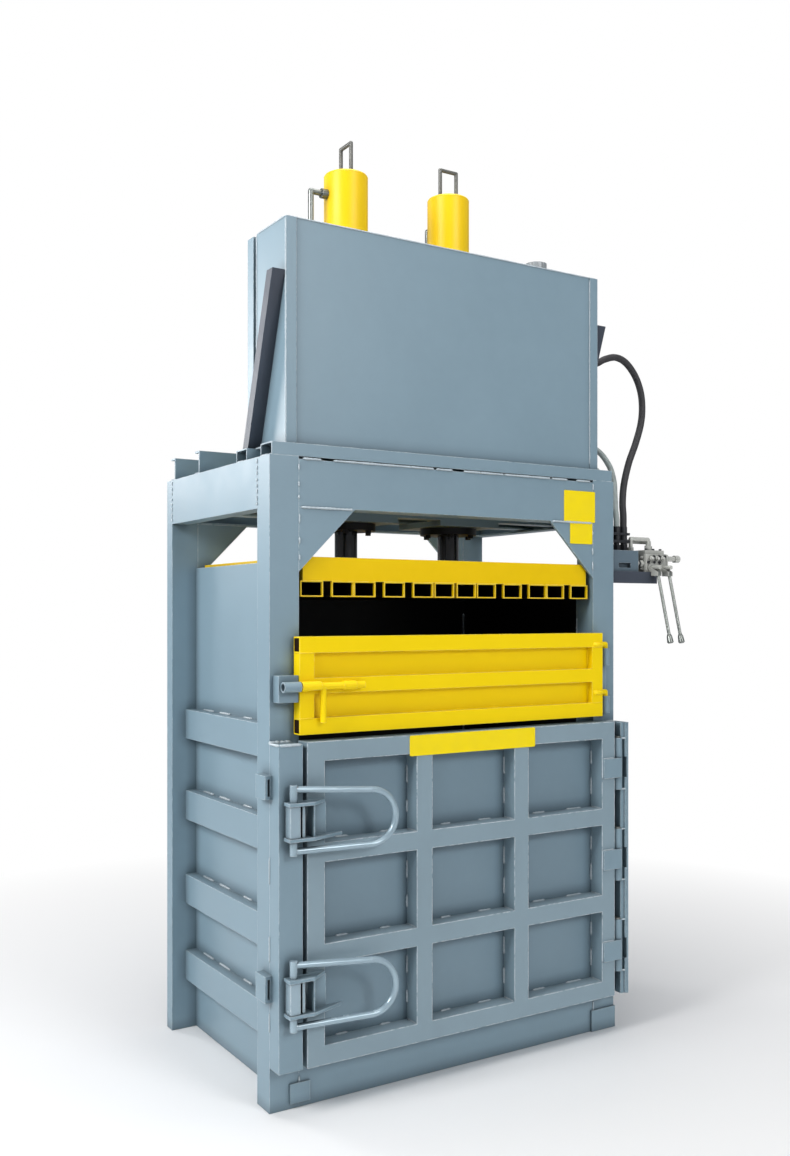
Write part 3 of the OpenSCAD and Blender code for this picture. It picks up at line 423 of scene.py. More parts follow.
@dataclass
class Paints:
    """Every finish on the machine, built once. Inside its boxes a finish turns near black, as painted shade.
    """

    group: bpy.types.NodeTree
    # Boxes of painted shade: the chamber's inside, the cylinders' feet below the crosshead and the platen
    # tubes' insides.
    chamber: Box = ((-0.6015, -0.340, 0.1385), (0.6015, 0.3775, 1.69))
    cylinder_feet: Box = ((-0.4, -0.2, 1.79), (0.4, 0.1, 1.8362))
    tube_insides: Box = ((-0.7, -0.407, 1.5), (0.7, 0.5, 1.6225))
    made: dict[str, bpy.types.Material] = field(default_factory=dict)

    def build(self) -> None:
        """Make the materials."""
        grey, light = srgb(126, 150, 163), srgb(232, 240, 243)
        yellow, shaded_yellow, cream = srgb(250, 216, 0), srgb(238, 198, 0), srgb(255, 246, 165)
        steels = (
            Steel("grey_enamel", grey, light, edge_amount=0.8, bevel=2.6 * MM,
                  shade_box=self.chamber),
            # Lit and shaded copies of the grey enamel: the door's sheet darker as painted shade in its cells,
            # its ribs lighter as painted light.
            Steel("grey_enamel_door_shaded", srgb(120, 143, 156), srgb(240, 247, 250), edge_amount=1.0,
                  bevel=4.2 * MM),
            Steel("grey_enamel_ribs_lit", srgb(134, 155, 166), srgb(246, 251, 253), edge_amount=1.0,
                  bevel=4.6 * MM, nook=0.25),
            # Weld beads lighter than the enamel round them, a painted highlight for their glint.
            Steel("grey_weld_highlit", srgb(186, 199, 206), srgb(240, 244, 246), bevel=1.0 * MM, roughness=0.28),
            Steel("yellow_enamel", yellow, cream, edge_amount=0.8, specular=0.22, nook=0.16, mottle=0.05,
                  dust=0.05, roughness=0.34),
            Steel("yellow_cylinder", srgb(250, 206, 6), cream, edge_amount=0.2, mottle=0.04, dust=0.03,
                  roughness=0.42, specular=0.35, shade_box=self.cylinder_feet),
            # Painted shade: the platen and its tubes take a darker copy of the yellow, for the shade under
            # the frame.
            Steel("yellow_platen_shaded", shaded_yellow, cream, edge_amount=0.8, specular=0.22, nook=0.3, mottle=0.08,
                  dust=0.05, roughness=0.34),
            Steel("yellow_tubes_shaded", shaded_yellow, cream, edge_amount=0.8, specular=0.22, nook=0.16, mottle=0.05,
                  dust=0.05, roughness=0.34, shade_box=self.tube_insides),
            Steel("slate_enamel", srgb(63, 70, 82), srgb(170, 180, 190), roughness=0.45),
            Steel("zinc_plate", srgb(132, 136, 132), srgb(236, 238, 236), edge_amount=0.7, bevel=1.0 * MM,
                  mottle=0.3, roughness=0.30, metallic=0.6, dust=0.05),
            Steel("valve_cast", srgb(206, 207, 200), srgb(255, 255, 252), edge_amount=1.0, bevel=1.6 * MM,
                  mottle=0.5, roughness=0.24, metallic=0.25, dust=0.0, peel=0.5),
            # Latches lighter than the door's grey, a painted sheen, with the strongest painted shade in their
            # nooks.
            Steel("latch_steel_sheen", srgb(150, 172, 184), srgb(246, 250, 252), edge_amount=1.0, bevel=2.4 * MM,
                  roughness=0.22, metallic=0.25, coat=0.4, nook=1.0),
            Steel("handle_steel", srgb(112, 112, 108), srgb(226, 226, 222), bevel=1.0 * MM, roughness=0.4,
                  metallic=0.5),
            Steel("cap_grey", srgb(150, 154, 156), srgb(235, 236, 236), edge_amount=0.8, bevel=1.0 * MM,
                  roughness=0.35),
            Steel("dark_plate", srgb(30, 30, 32), srgb(90, 92, 96), roughness=0.42, dust=0.05),
            # A dark brown for plates set in open tube ends, painted shade of the tubes' insides.
            Steel("tube_mouth_shade", srgb(36, 22, 10), srgb(120, 84, 20), edge_amount=0.2, bevel=1.0 * MM,
                  roughness=0.8, specular=0.1),
            Steel("rod_black", srgb(26, 26, 28), srgb(120, 122, 126), roughness=0.22, dust=0.0, mottle=0.05,
                  coat=0.3),
            Steel("fitting_black", srgb(38, 40, 44), srgb(150, 152, 156), bevel=1.0 * MM, roughness=0.35),
            Steel("manifold_enamel", srgb(98, 116, 128), light, edge_amount=0.9, roughness=0.35),
            Steel("motor_enamel", srgb(64, 84, 104), srgb(160, 176, 190), roughness=0.42),
        )
        for finish in steels:
            self.made[finish.name] = finish.make(self.group)
        for hose in (Rubber("hose_black", srgb(42, 41, 43)), Rubber("hose_grey", srgb(132, 140, 138))):
            self.made[hose.name] = hose.make()
        sign = SignPlate("sign_yellow", srgb(254, 226, 0))
        self.made[sign.name] = sign.make()

    def dress(self, finish: str, *nodes: str) -> None:
        """Give CAD nodes a finish.

        Args:
            finish: the finish's name.
            nodes: the nodes' names.
        """
        for name in nodes:
            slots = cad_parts[name].data.materials
            slots.clear()
            slots.append(self.made[finish])
        log.info("dressed %d nodes in %s", len(nodes), finish)

    def piece(self, name: str, shapes: Iterable[Shape], finish: str, body: Body,
              smooth: bool = True) -> None:
        """Make a mesh piece that rides on a body.

        Args:
            name: the piece's name.
            shapes: what it is joined from, in metres in the frame.
            finish: the finish's name.
            body: the body it rides on.
            smooth: whether its faces are shaded smooth.
        """
        verts, faces = join(shapes)
        mesh = bpy.data.meshes.new(name)
        mesh.from_pydata(verts.tolist(), [], faces)
        mesh.polygons.foreach_set("use_smooth", np.full(len(mesh.polygons), smooth))
        mesh.materials.append(self.made[finish])
        mesh.update()
        made = bpy.data.objects.new(name, mesh)
        bpy.context.scene.collection.objects.link(made)
        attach(made, body.value)
        log.info("built %s: %d faces", name, len(faces))


BEAD_SIDES = 6
LEAST_RINGS = 6


def ring_grid(rings: int, sides: int) -> np.ndarray:
    """Number the quads between the rings of a tube, ring after ring, with both ends open.

    Args:
        rings, sides: the number of rings and the corners of each.

    Returns:
        Quads, one row each.
    """
    i, k = np.meshgrid(np.arange(rings - 1), np.arange(sides), indexing="ij")
    m = (k + 1) % sides
    quads = np.stack([i * sides + k, i * sides + m, (i + 1) * sides + m, (i + 1) * sides + k], -1)
    return quads.reshape(-1, 4)


def end_fans(rings: int, sides: int) -> np.ndarray:
    """Number the triangles that close a tube on two pole points, which follow the points of its rings.

    Args:
        rings, sides: the number of rings and the corners of each.

    Returns:
        Triangles, one row each, first those of the low end.
    """
    k = np.arange(sides)
    m = (k + 1) % sides
    pole, last = rings * sides, (rings - 1) * sides
    return np.vstack([np.stack([np.full(sides, pole), m, k], -1),
                      np.stack([np.full(sides, pole + 1), last + k, last + m], -1)])


def bead(a: Sequence[float], b: Sequence[float], radius: float, phase: float,
         pitch: float = 5.0 * MM) -> Shape:
    """Make one weld bead between two points.

    A tube whose radius ripples along its length s, as laid drops do, by
    1 + 0.16 sin(2.1 s / pitch + phase) + 0.12 sin(61 s + phase), and tapers to a closed point at
    both ends.

    Args:
        a, b: end points.
        radius: mean radius.
        phase: shifts the ripple.
        pitch: distance between rings.

    Returns:
        Points, quads, and end triangles.
    """
    a, b = np.asarray(a, float), np.asarray(b, float)
    run = b - a
    length = float(np.linalg.norm(run))
    rings = max(LEAST_RINGS, int(length / pitch))
    t = np.linspace(0.0, 1.0, rings)
    axis = run / length
    helper = np.array([0.0, 0.0, 1.0]) if abs(axis[2]) < 0.8 else np.array([0.0, 1.0, 0.0])
    u = np.cross(axis, helper)
    u /= np.linalg.norm(u)
    v = np.cross(axis, u)
    ripple = (1.0 + 0.16 * np.sin(t * length / pitch * 2.1 + phase)
              + 0.12 * np.sin(t * length * 61.0 + phase))
    taper = np.minimum(1.0, 0.25 + 5.0 * np.minimum(t, 1.0 - t) * rings / 6.0)
    angle = np.arange(BEAD_SIDES) * 2.0 * pi / BEAD_SIDES
    ring = np.cos(angle)[:, None] * u + np.sin(angle)[:, None] * v
    points = a + t[:, None, None] * run + (radius * ripple * taper)[:, None, None] * ring
    verts = np.vstack([points.reshape(-1, 3), a, b])
    return verts, ring_grid(rings, BEAD_SIDES), end_fans(rings, BEAD_SIDES)


@dataclass(frozen=True)
class Weld:
    """A kind of weld: its bead's radius and, where it is laid in stitches, their length and rough gap.

    Below a gap of zero the stitches run into each other. A weld runs along a line whose x, y and z
    are each a number, or a pair where the line's ends differ.
    """

    radius: float
    length: float = 0.0
    gap: float = 0.0

    def ends(self, *place: Span) -> tuple[np.ndarray, np.ndarray]:
        """Give the two ends of a line from its three spans."""
        pairs = [span if isinstance(span, tuple) else (span, span) for span in place]
        return np.array([p[0] for p in pairs], float), np.array([p[1] for p in pairs], float)

    def run(self, x: Span, y: Span, z: Span, phase: float) -> Shape:
        """Lay one unbroken bead, with its ripple shifted by the phase."""
        return bead(*self.ends(x, y, z), self.radius, phase)

    def stitch(self, x: Span, y: Span, z: Span) -> list[Shape]:
        """Lay short welds, evenly spread, each a little off in place and length by a fixed rule.

        Args:
            x, y, z: the line's spans.

        Returns:
            The beads.
        """
        a, b = self.ends(x, y, z)
        total = float(np.linalg.norm(b - a))
        count = max(1, int(total / (self.length + self.gap)))
        made = []
        for i in range(count):
            middle = (i + 0.5) / count + 0.08 * np.sin(3.7 * i + total * 9.0) / count
            half = self.length * (0.42 + 0.12 * np.sin(5.1 * i + a[0] * 13.0)) / total
            start, end = max(0.0, middle - half), min(1.0, middle + half)
            made.append(bead(a + (b - a) * start, a + (b - a) * end, self.radius, 1.7 * i + total))
        return made


def ring_weld(centre: Point, radius: float, thick: float, phase: float) -> Shape:
    """Lay a round weld about an upright axis.

    Its cross-section is a small circle, whose radius ripples with the drops along the angle a:
    r(a) = r0 (1 + 0.14 sin(70 a + phase)).

    Args:
        centre: the ring's middle.
        radius: from the axis to the middle of the cross-section.
        thick: mean radius r0 of the cross-section.
        phase: shifts the ripple.

    Returns:
        Points, quads, and the quads of the seam.
    """
    rings, sides = 220, BEAD_SIDES
    angle = np.arange(rings) * 2.0 * pi / rings
    section = np.arange(sides) * 2.0 * pi / sides
    r = thick * (1.0 + 0.14 * np.sin(70.0 * angle + phase))[:, None]
    out = radius + r * np.cos(section)
    points = np.stack([centre[0] + out * np.cos(angle)[:, None], centre[1] + out * np.sin(angle)[:, None],
                       centre[2] + r * np.sin(section)], -1)
    i, m = np.arange(sides), (np.arange(sides) + 1) % sides
    last = (rings - 1) * sides
    return points.reshape(-1, 3), ring_grid(rings, sides), np.stack([last + i, last + m, m, i], -1)


def turned(centre: Sequence[float], axis: int, profile: Sequence[Sequence[float]], sides: int = 20,
           way: float = 1.0) -> Shape:
    """Turn a profile about an axis: a point at (r, h) sweeps the circle of radius r at height h.

    Args:
        centre: where the axis starts.
        axis: 0, 1 or 2 for X, Y or Z.
        profile: radius and height of each point, closed to the axis at both ends by fans.
        sides: corners of a ring, six for a hexagon.
        way: 1 or -1, the way that heights run along the axis.

    Returns:
        Points, quads, and end triangles.
    """
    shape = np.array(profile, float)
    a = np.arange(sides) * 2.0 * pi / sides
    first, second = [i for i in range(3) if i != axis]
    points = np.zeros((len(shape), sides, 3))
    points[..., first] = shape[:, :1] * np.cos(a)
    points[..., second] = shape[:, :1] * np.sin(a)
    points[..., axis] = way * shape[:, 1:]
    low, high = np.zeros(3), np.zeros(3)
    low[axis], high[axis] = way * shape[0, 1], way * shape[-1, 1]
    verts = np.vstack([points.reshape(-1, 3), low, high]) + np.asarray(centre, float)
    return verts, ring_grid(len(shape), sides), end_fans(len(shape), sides)


def rounded_box(low: Sequence[float], high: Sequence[float], radius: float, steps: int = 5) -> Shape:
    """Make a block whose four edges along Y are rounded.

    Its outline in X and Z is four quarter circles joined by straight runs. It stands at both
    depths in Y, and a face closes it at each.

    Args:
        low, high: corners.
        radius: radius of the edges.
        steps: points of a quarter circle.

    Returns:
        Points, the quads round it, and its two faces.
    """
    angle = np.linspace(0.0, pi / 2, steps)
    outline = []
    for turn, (right, up) in enumerate(((1, 1), (-1, 1), (-1, -1), (1, -1))):
        cx = high[0] - radius if right > 0 else low[0] + radius
        cz = high[2] - radius if up > 0 else low[2] + radius
        a = angle + turn * pi / 2
        outline.append(np.stack([cx + radius * np.cos(a), cz + radius * np.sin(a)], -1))
    ring = np.vstack(outline)
    n = len(ring)
    verts = np.vstack([np.insert(ring, 1, depth, axis=1) for depth in (low[1], high[1])])
    k = np.arange(n)
    m = (k + 1) % n
    return verts, np.stack([k + n, m + n, m, k], -1), np.stack([k, (k + n)[::-1]])


def join(shapes: Iterable[Shape]) -> tuple[np.ndarray, list[list[int]]]:
    """Join shapes into one mesh.

    Args:
        shapes: points and faces of each.

    Returns:
        All points, and all faces as lists.
    """
    verts, faces, start = [], [], 0
    for points, quads, closing in shapes:
        verts.append(points)
        faces += (quads + start).tolist() + (closing + start).tolist()
        start += len(points)
    return np.vstack(verts), faces


@dataclass(frozen=True)
class Lamp:
    """One soft square light: where it hangs, what it faces, its side in metres and its watts."""

    name: str
    place: Point
    aim: Point
    size: float
    power: float

    def hang(self) -> None:
        """Put the light in the scene."""
        data = bpy.data.lights.new(self.name, "AREA")
        data.shape, data.size, data.energy = "SQUARE", self.size, self.power
        made = bpy.data.objects.new(self.name, data)
        made.location = self.place
        way = Vector(self.aim) - Vector(self.place)
        made.rotation_euler = way.to_track_quat("-Z", "Y").to_euler()
        bpy.context.scene.collection.objects.link(made)


@dataclass
class Studio:
    """The photo's camera, with a pale floor, a white backdrop and soft lights."""

    place: Point = (-2.1996, -3.5511, 1.5217)
    turn: float = -32.0
    lens: float = 35.28
    sensor: float = 36.0
    shift_up: float = 0.0304
    sight: float = 200.0
    lamps: tuple[Lamp, ...] = (
        Lamp("key_left", (-4.6, -0.9, 3.8), (0.0, 0.0, 1.4), 2.0, 208.0),
        Lamp("fill_front", (1.2, -7.4, 4.6), (0.0, 0.0, 1.4), 2.2, 203.0),
        Lamp("kick_back", (-3.7, 6.5, 3.7), (-0.6, 0.0, 2.2), 2.0, 150.0),
        Lamp("top_soft", (0.0, -0.6, 6.0), (0.0, 0.0, 1.0), 3.0, 120.0),
    )
    floor_radius: float = 30.0
    floor_sides: int = 96
    floor_drop: float = 0.5 * MM
    floor_grey: float = 0.86
    fade_start: float = 0.9
    fade_width: float = 2.4
    air: Colour = (0.27, 0.28, 0.30, 1.0)
    white: Colour = (1.0, 1.0, 1.0, 1.0)

    def build_camera(self) -> None:
        """Make the camera that the photo was matched with, and set it as the scene's."""
        data = bpy.data.cameras.new("photo_camera")
        data.lens, data.sensor_width, data.shift_y = self.lens, self.sensor, self.shift_up
        data.clip_end = self.sight
        made = bpy.data.objects.new("photo_camera", data)
        made.location = self.place
        made.rotation_euler = (radians(90.0), 0.0, radians(self.turn))
        bpy.context.scene.collection.objects.link(made)
        bpy.context.scene.camera = made
        log.info("camera set")

    def build_floor(self) -> None:
        """Lay a round floor that is pale near the machine and fades to the backdrop's white."""
        angle = np.linspace(0.0, 2.0 * pi, self.floor_sides, endpoint=False)
        ring = np.stack([np.cos(angle), np.sin(angle), np.zeros_like(angle)], -1) * self.floor_radius
        mesh = bpy.data.meshes.new("floor")
        mesh.from_pydata(ring.tolist(), [], [list(range(self.floor_sides))])
        made = bpy.data.objects.new("floor", mesh)
        made.location = (0.0, 0.0, -self.floor_drop)
        material, g, shader = principled("floor_white")
        shader.inputs["Base Color"].default_value = (self.floor_grey,) * 3 + (1.0,)
        shader.inputs["Roughness"].default_value = 0.6
        far = g.add("ShaderNodeVectorMath", operation="LENGTH")
        g.link(g.add("ShaderNodeTexCoord").outputs["Object"], far.inputs[0])
        past = g.math("SUBTRACT", far.outputs["Value"], self.fade_start)
        fade = g.math("DIVIDE", past, self.fade_width, clamp=True)
        seen = g.add("ShaderNodeLightPath").outputs["Is Camera Ray"]
        white = g.add("ShaderNodeEmission", Color=self.white, Strength=1.0)
        blend = g.add("ShaderNodeMixShader")
        g.link(g.math("MULTIPLY", fade, seen), blend.inputs[0])
        g.link(shader.outputs[0], blend.inputs[1])
        g.link(white.outputs[0], blend.inputs[2])
        out = next(n for n in material.node_tree.nodes if n.bl_idname == "ShaderNodeOutputMaterial")
        g.link(blend.outputs[0], out.inputs["Surface"])
        mesh.materials.append(material)
        bpy.context.scene.collection.objects.link(made)

    def build_world(self) -> None:
        """Fill the world with soft grey light that the camera sees as white."""
        world = bpy.data.worlds.new("studio")
        bpy.context.scene.world = world
        world.use_nodes = True
        g = Graph(world.node_tree)
        world.node_tree.nodes.clear()
        seen = g.add("ShaderNodeLightPath").outputs["Is Camera Ray"]
        back = g.add("ShaderNodeBackground", Strength=1.0)
        g.link(g.mix(seen, self.air, self.white), back.inputs["Color"])
        g.link(back.outputs[0], g.add("ShaderNodeOutputWorld").inputs["Surface"])

    def build(self) -> None:
        """Make the lights, floor and backdrop."""
        bpy.context.scene.view_settings.view_transform = "Standard"
        for lamp in self.lamps:
            lamp.hang()
        self.build_floor()
        self.build_world()
        log.info("studio built")


def smooth_path(route: Sequence[Point], steps: int = 7) -> np.ndarray:
    """Run a Catmull-Rom curve through a route.

    Between p1 and p2 the curve is p(t) = (2 p1 + (p2 - p0) t + (2 p0 - 5 p1 + 4 p2 - p3) t^2
    + (3 p1 - p0 - 3 p2 + p3) t^3) / 2, with the outer points mirrored at both ends.

    Args:
        route: points in millimetres.
        steps: points made for each stretch.

    Returns:
        Points in metres, one row each.
    """
    p = np.array(route, float) * MM
    p = np.vstack([2 * p[0] - p[1], p, 2 * p[-1] - p[-2]])
    p0, p1, p2, p3 = p[:-3, None], p[1:-2, None], p[2:-1, None], p[3:, None]
    t = np.linspace(0.0, 1.0, steps, endpoint=False)[None, :, None]
    curve = 0.5 * (2 * p1 + (p2 - p0) * t + (2 * p0 - 5 * p1 + 4 * p2 - p3) * t ** 2
                   + (3 * p1 - p0 - 3 * p2 + p3) * t ** 3)
    return np.vstack([curve.reshape(-1, 3), p[-2]])


@dataclass
class Hose:
    """One free hydraulic hose between two fittings of the machine."""

    name: str
    node: str
    route: Sequence[Point]
    diameter: float
    finish: str
    slot: Slot

    def build(self, paints: Paints) -> None:
        """Args:
            paints: the finishes.
        """
        points = smooth_path(self.route)
        curve = bpy.data.curves.new(self.name, "CURVE")
        curve.dimensions = "3D"
        curve.bevel_depth = self.diameter / 2
        curve.bevel_resolution = 4
        curve.use_fill_caps = True
        line = curve.splines.new("POLY")
        line.points.add(len(points) - 1)
        line.points.foreach_set("co", np.hstack([points, np.ones((len(points), 1))]).ravel())
        line.use_smooth = True
        curve.materials.append(paints.made[self.finish])
        made = bpy.data.objects.new(self.name, curve)
        bpy.context.scene.collection.objects.link(made)
        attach(made, Body.FRAME.value)
        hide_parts(self.node)


HOSES = (
    Hose("return_hose", "hose_return", (
        (683.5, -304, 2464), (730, -304, 2470), (776, -304, 2492), (829, -305, 2505), (880, -307, 2490),
        (925, -310, 2445), (950, -315, 2385), (955, -319, 2320), (941, -325, 2253), (905, -334, 2175),
        (860, -344, 2095), (825, -355, 2010), (806, -368, 1940), (801, -377, 1890), (801, -377, 1847)),
        26 * MM, "hose_black", Slot.RUBBER),
    Hose("pressure_hose", "hose_pressure", (
        (110, 207, 2237), (112, 165, 2237), (140, 130, 2235), (200, 115, 2232), (300, 95, 2228),
        (400, 55, 2225), (490, -5, 2222), (580, -70, 2218), (670, -135, 2208), (740, -195, 2188),
        (792, -245, 2150), (814, -285, 2090), (808, -318, 2025), (788, -345, 1965), (771, -367, 1910),
        (767, -377, 1875), (767, -377, 1847)), 22 * MM, "hose_grey", Slot.GREY_RUBBER),
    Hose("cylinder_hose", "hose_cylinder", (
        (400, 85, 2146), (440, 82, 2146), (500, 60, 2146), (560, 15, 2145), (620, -45, 2142),
        (680, -115, 2134), (730, -185, 2118), (766, -245, 2085), (776, -292, 2035), (765, -330, 1975),
        (744, -361, 1915), (733, -377, 1880), (733, -377, 1847)), 22 * MM, "hose_grey", Slot.GREY_RUBBER),
)


# The machine's left and right, and how far most beads lie off the face that they seat on.
SIDES = (-1.0, 1.0)
SEAT = 1 * MM


@dataclass
class BaseAndWalls:
    """Base frame, posts and chamber walls, with the welds that hold their ribs."""

    front: float = -432 * MM
    post_back: float = -345 * MM
    rear: float = 382 * MM
    sheet_out: float = 606 * MM
    rib_z: tuple[float, ...] = (233 * MM, 512 * MM, 820 * MM, 1116 * MM)
    rib_h: float = 106 * MM
    rib_inset: float = 20 * MM
    rib_weld: Weld = Weld(4.8 * MM, 90 * MM, 60 * MM)
    back_end: float = 0.56
    back_weld: Weld = Weld(4.8 * MM, 80 * MM, 70 * MM)
    foot_x: float = 600 * MM
    foot_z: tuple[float, float] = (12 * MM, 134 * MM)
    foot_seat: float = 0.6 * MM
    foot_weld: Weld = Weld(3.0 * MM, 50 * MM, 16 * MM)
    post_x: float = 600.5 * MM
    post_z: tuple[tuple[float, float], ...] = ((0.16, 0.16 + 0.9), (1.28, 1.66))
    post_weld: Weld = Weld(3.6 * MM, 80 * MM, 120 * MM)
    sill_end: float = 0.598
    sill_z: float = 137 * MM
    sill_seat: float = 0.4 * MM
    sill_weld: Weld = Weld(2.6 * MM, 40 * MM, 210 * MM)
    corner: tuple[float, float] = (596.5 * MM, 0.3755)
    corner_z: tuple[float, float] = (0.16, 1.52)
    corner_phase: float = 0.7
    corner_weld: Weld = Weld(6.0 * MM)

    def dress(self, paints: Paints) -> None:
        """Give the base, posts and walls their grey enamel.

        Args:
            paints: the finishes.
        """
        paints.dress("grey_enamel", "base_frame", "floor_plate", "front_post_left", "front_post_right",
                     "rear_post_left", "rear_post_right", "side_panel_left", "side_panel_right",
                     "wall_ribs", "back_panel", "side_lugs")

    def build_welds(self, paints: Paints) -> None:
        """Lay the beads of the walls' ribs, the posts and their feet, the sill and a chamber corner.

        Args:
            paints: the finishes.
        """
        edges = [z + edge * (self.rib_h / 2 + SEAT) for z in self.rib_z for edge in SIDES]
        depth = (self.post_back + self.rib_inset, self.rear - self.rib_inset)
        beads = []
        for side in SIDES:
            for level in edges:
                beads += self.rib_weld.stitch(side * (self.sheet_out + SEAT), depth, level)
            beads += self.foot_weld.stitch(side * self.foot_x, self.front - self.foot_seat, self.foot_z)
            for height in self.post_z:
                beads += self.post_weld.stitch(side * self.post_x, self.post_back + SEAT, height)
        for level in edges:
            beads += self.back_weld.stitch((-self.back_end, self.back_end), self.rear + SEAT, level)
        sill = (-self.sill_end, self.sill_end)
        beads += self.sill_weld.stitch(sill, self.front - self.sill_seat, self.sill_z)
        beads.append(self.corner_weld.run(*self.corner, self.corner_z, self.corner_phase))
        paints.piece("wall_welds", beads, "grey_weld_highlit", Body.FRAME)

    def build(self, paints: Paints) -> None:
        """Dress the CAD nodes and add the welds."""
        self.dress(paints)
        self.build_welds(paints)


@dataclass
class Crown:
    """Top frame: beams, gussets, deck, crosshead and tank supports.

    Each label plate gives its name and its low and high corners in millimetres.
    """

    front: float = -432 * MM
    front_seat: float = 0.3 * MM
    post_x: float = 600 * MM
    side_x: float = 0.7
    beam_z: float = 1850 * MM
    beam_top: float = 1998 * MM
    beam_inset: float = 4 * MM
    beam_weld: Weld = Weld(3.2 * MM, 22 * MM, 14 * MM)
    top_end: float = 0.596
    top_weld: Weld = Weld(3.8 * MM, 110 * MM, -14 * MM)
    gusset_leg: float = 200 * MM
    gusset_inset: float = 8 * MM
    gusset_gap: float = 2 * MM
    gusset_start: float = 6 * MM
    gusset_weld: Weld = Weld(3.0 * MM, 30 * MM, 26 * MM)
    gusset_bead: Weld = Weld(4.2 * MM)
    side_seams: tuple[float, float] = (-345 * MM, 381 * MM)
    side_z: tuple[float, float] = (1850 * MM, 2002 * MM)
    side_weld: Weld = Weld(3.8 * MM, 15 * MM, 3 * MM)
    deck_x: float = 0.694
    deck_z: float = 2006 * MM
    deck_y: tuple[tuple[float, float], ...] = ((-432 * MM + SEAT, -352 * MM), (-250 * MM, -170 * MM))
    deck_weld: Weld = Weld(4.0 * MM, 70 * MM, 5 * MM)
    over_labels: float = 1967 * MM
    labels: tuple[tuple[str, Point, Point], ...] = (
        ("beam_label_upper", (463, -433.2, 1851), (609, -432, 1963)),
        ("beam_label_lower", (491, -433.6, 1772), (596, -432, 1848)),
    )
    label_corner: float = 4 * MM

    def dress(self, paints: Paints) -> None:
        """Give the beams their grey and the tank's supports their slate enamel.

        Args:
            paints: the finishes.
        """
        paints.dress("grey_enamel", "front_beam", "side_beams", "rear_beam", "corner_gussets",
                     "cross_members", "cylinder_crosshead")
        paints.dress("slate_enamel", "tank_braces", "valve_bracket")

    def build_welds(self, paints: Paints) -> None:
        """Lay the beads of the gussets, the beams' ends and the deck tubes, clear of the labels.

        Args:
            paints: the finishes.
        """
        beads = []
        y = self.front - self.front_seat
        for side in SIDES:
            x = side * self.post_x
            low = self.beam_z + self.beam_inset if side < 0 else self.over_labels
            beads += self.beam_weld.stitch(x, y, (low, self.beam_top - self.beam_inset))
            upright = (self.beam_z - self.gusset_leg + self.gusset_inset, self.beam_z - self.gusset_inset)
            level = (x - side * self.gusset_start, x - side * (self.gusset_leg - self.gusset_inset))
            beads += self.gusset_weld.stitch(x - side * self.gusset_gap, y, upright)
            beads.append(self.gusset_bead.run(level, y, self.beam_z - SEAT, 2.1))
            for depth in self.deck_y:
                beads += self.deck_weld.stitch(side * self.deck_x, depth, self.deck_z)
            for seam in self.side_seams:
                beads += self.side_weld.stitch(side * self.side_x, seam, self.side_z)
        beads += self.top_weld.stitch((-self.top_end, self.top_end), y, self.beam_top + 2 * SEAT)
        paints.piece("crown_welds", beads, "grey_weld_highlit", Body.FRAME)

    def build_labels(self, paints: Paints) -> None:
        """Fix the two bare label plates at the right end of the front beam.

        Args:
            paints: the finishes.
        """
        for name, low, high in self.labels:
            plate = rounded_box(np.array(low) * MM, np.array(high) * MM, self.label_corner)
            paints.piece(name, [plate], "sign_yellow", Body.FRAME, smooth=False)

    def build(self, paints: Paints) -> None:
        """Dress the CAD nodes and add welds and labels.

        Args:
            paints: the finishes.
        """
        self.dress(paints)
        self.build_welds(paints)
        self.build_labels(paints)


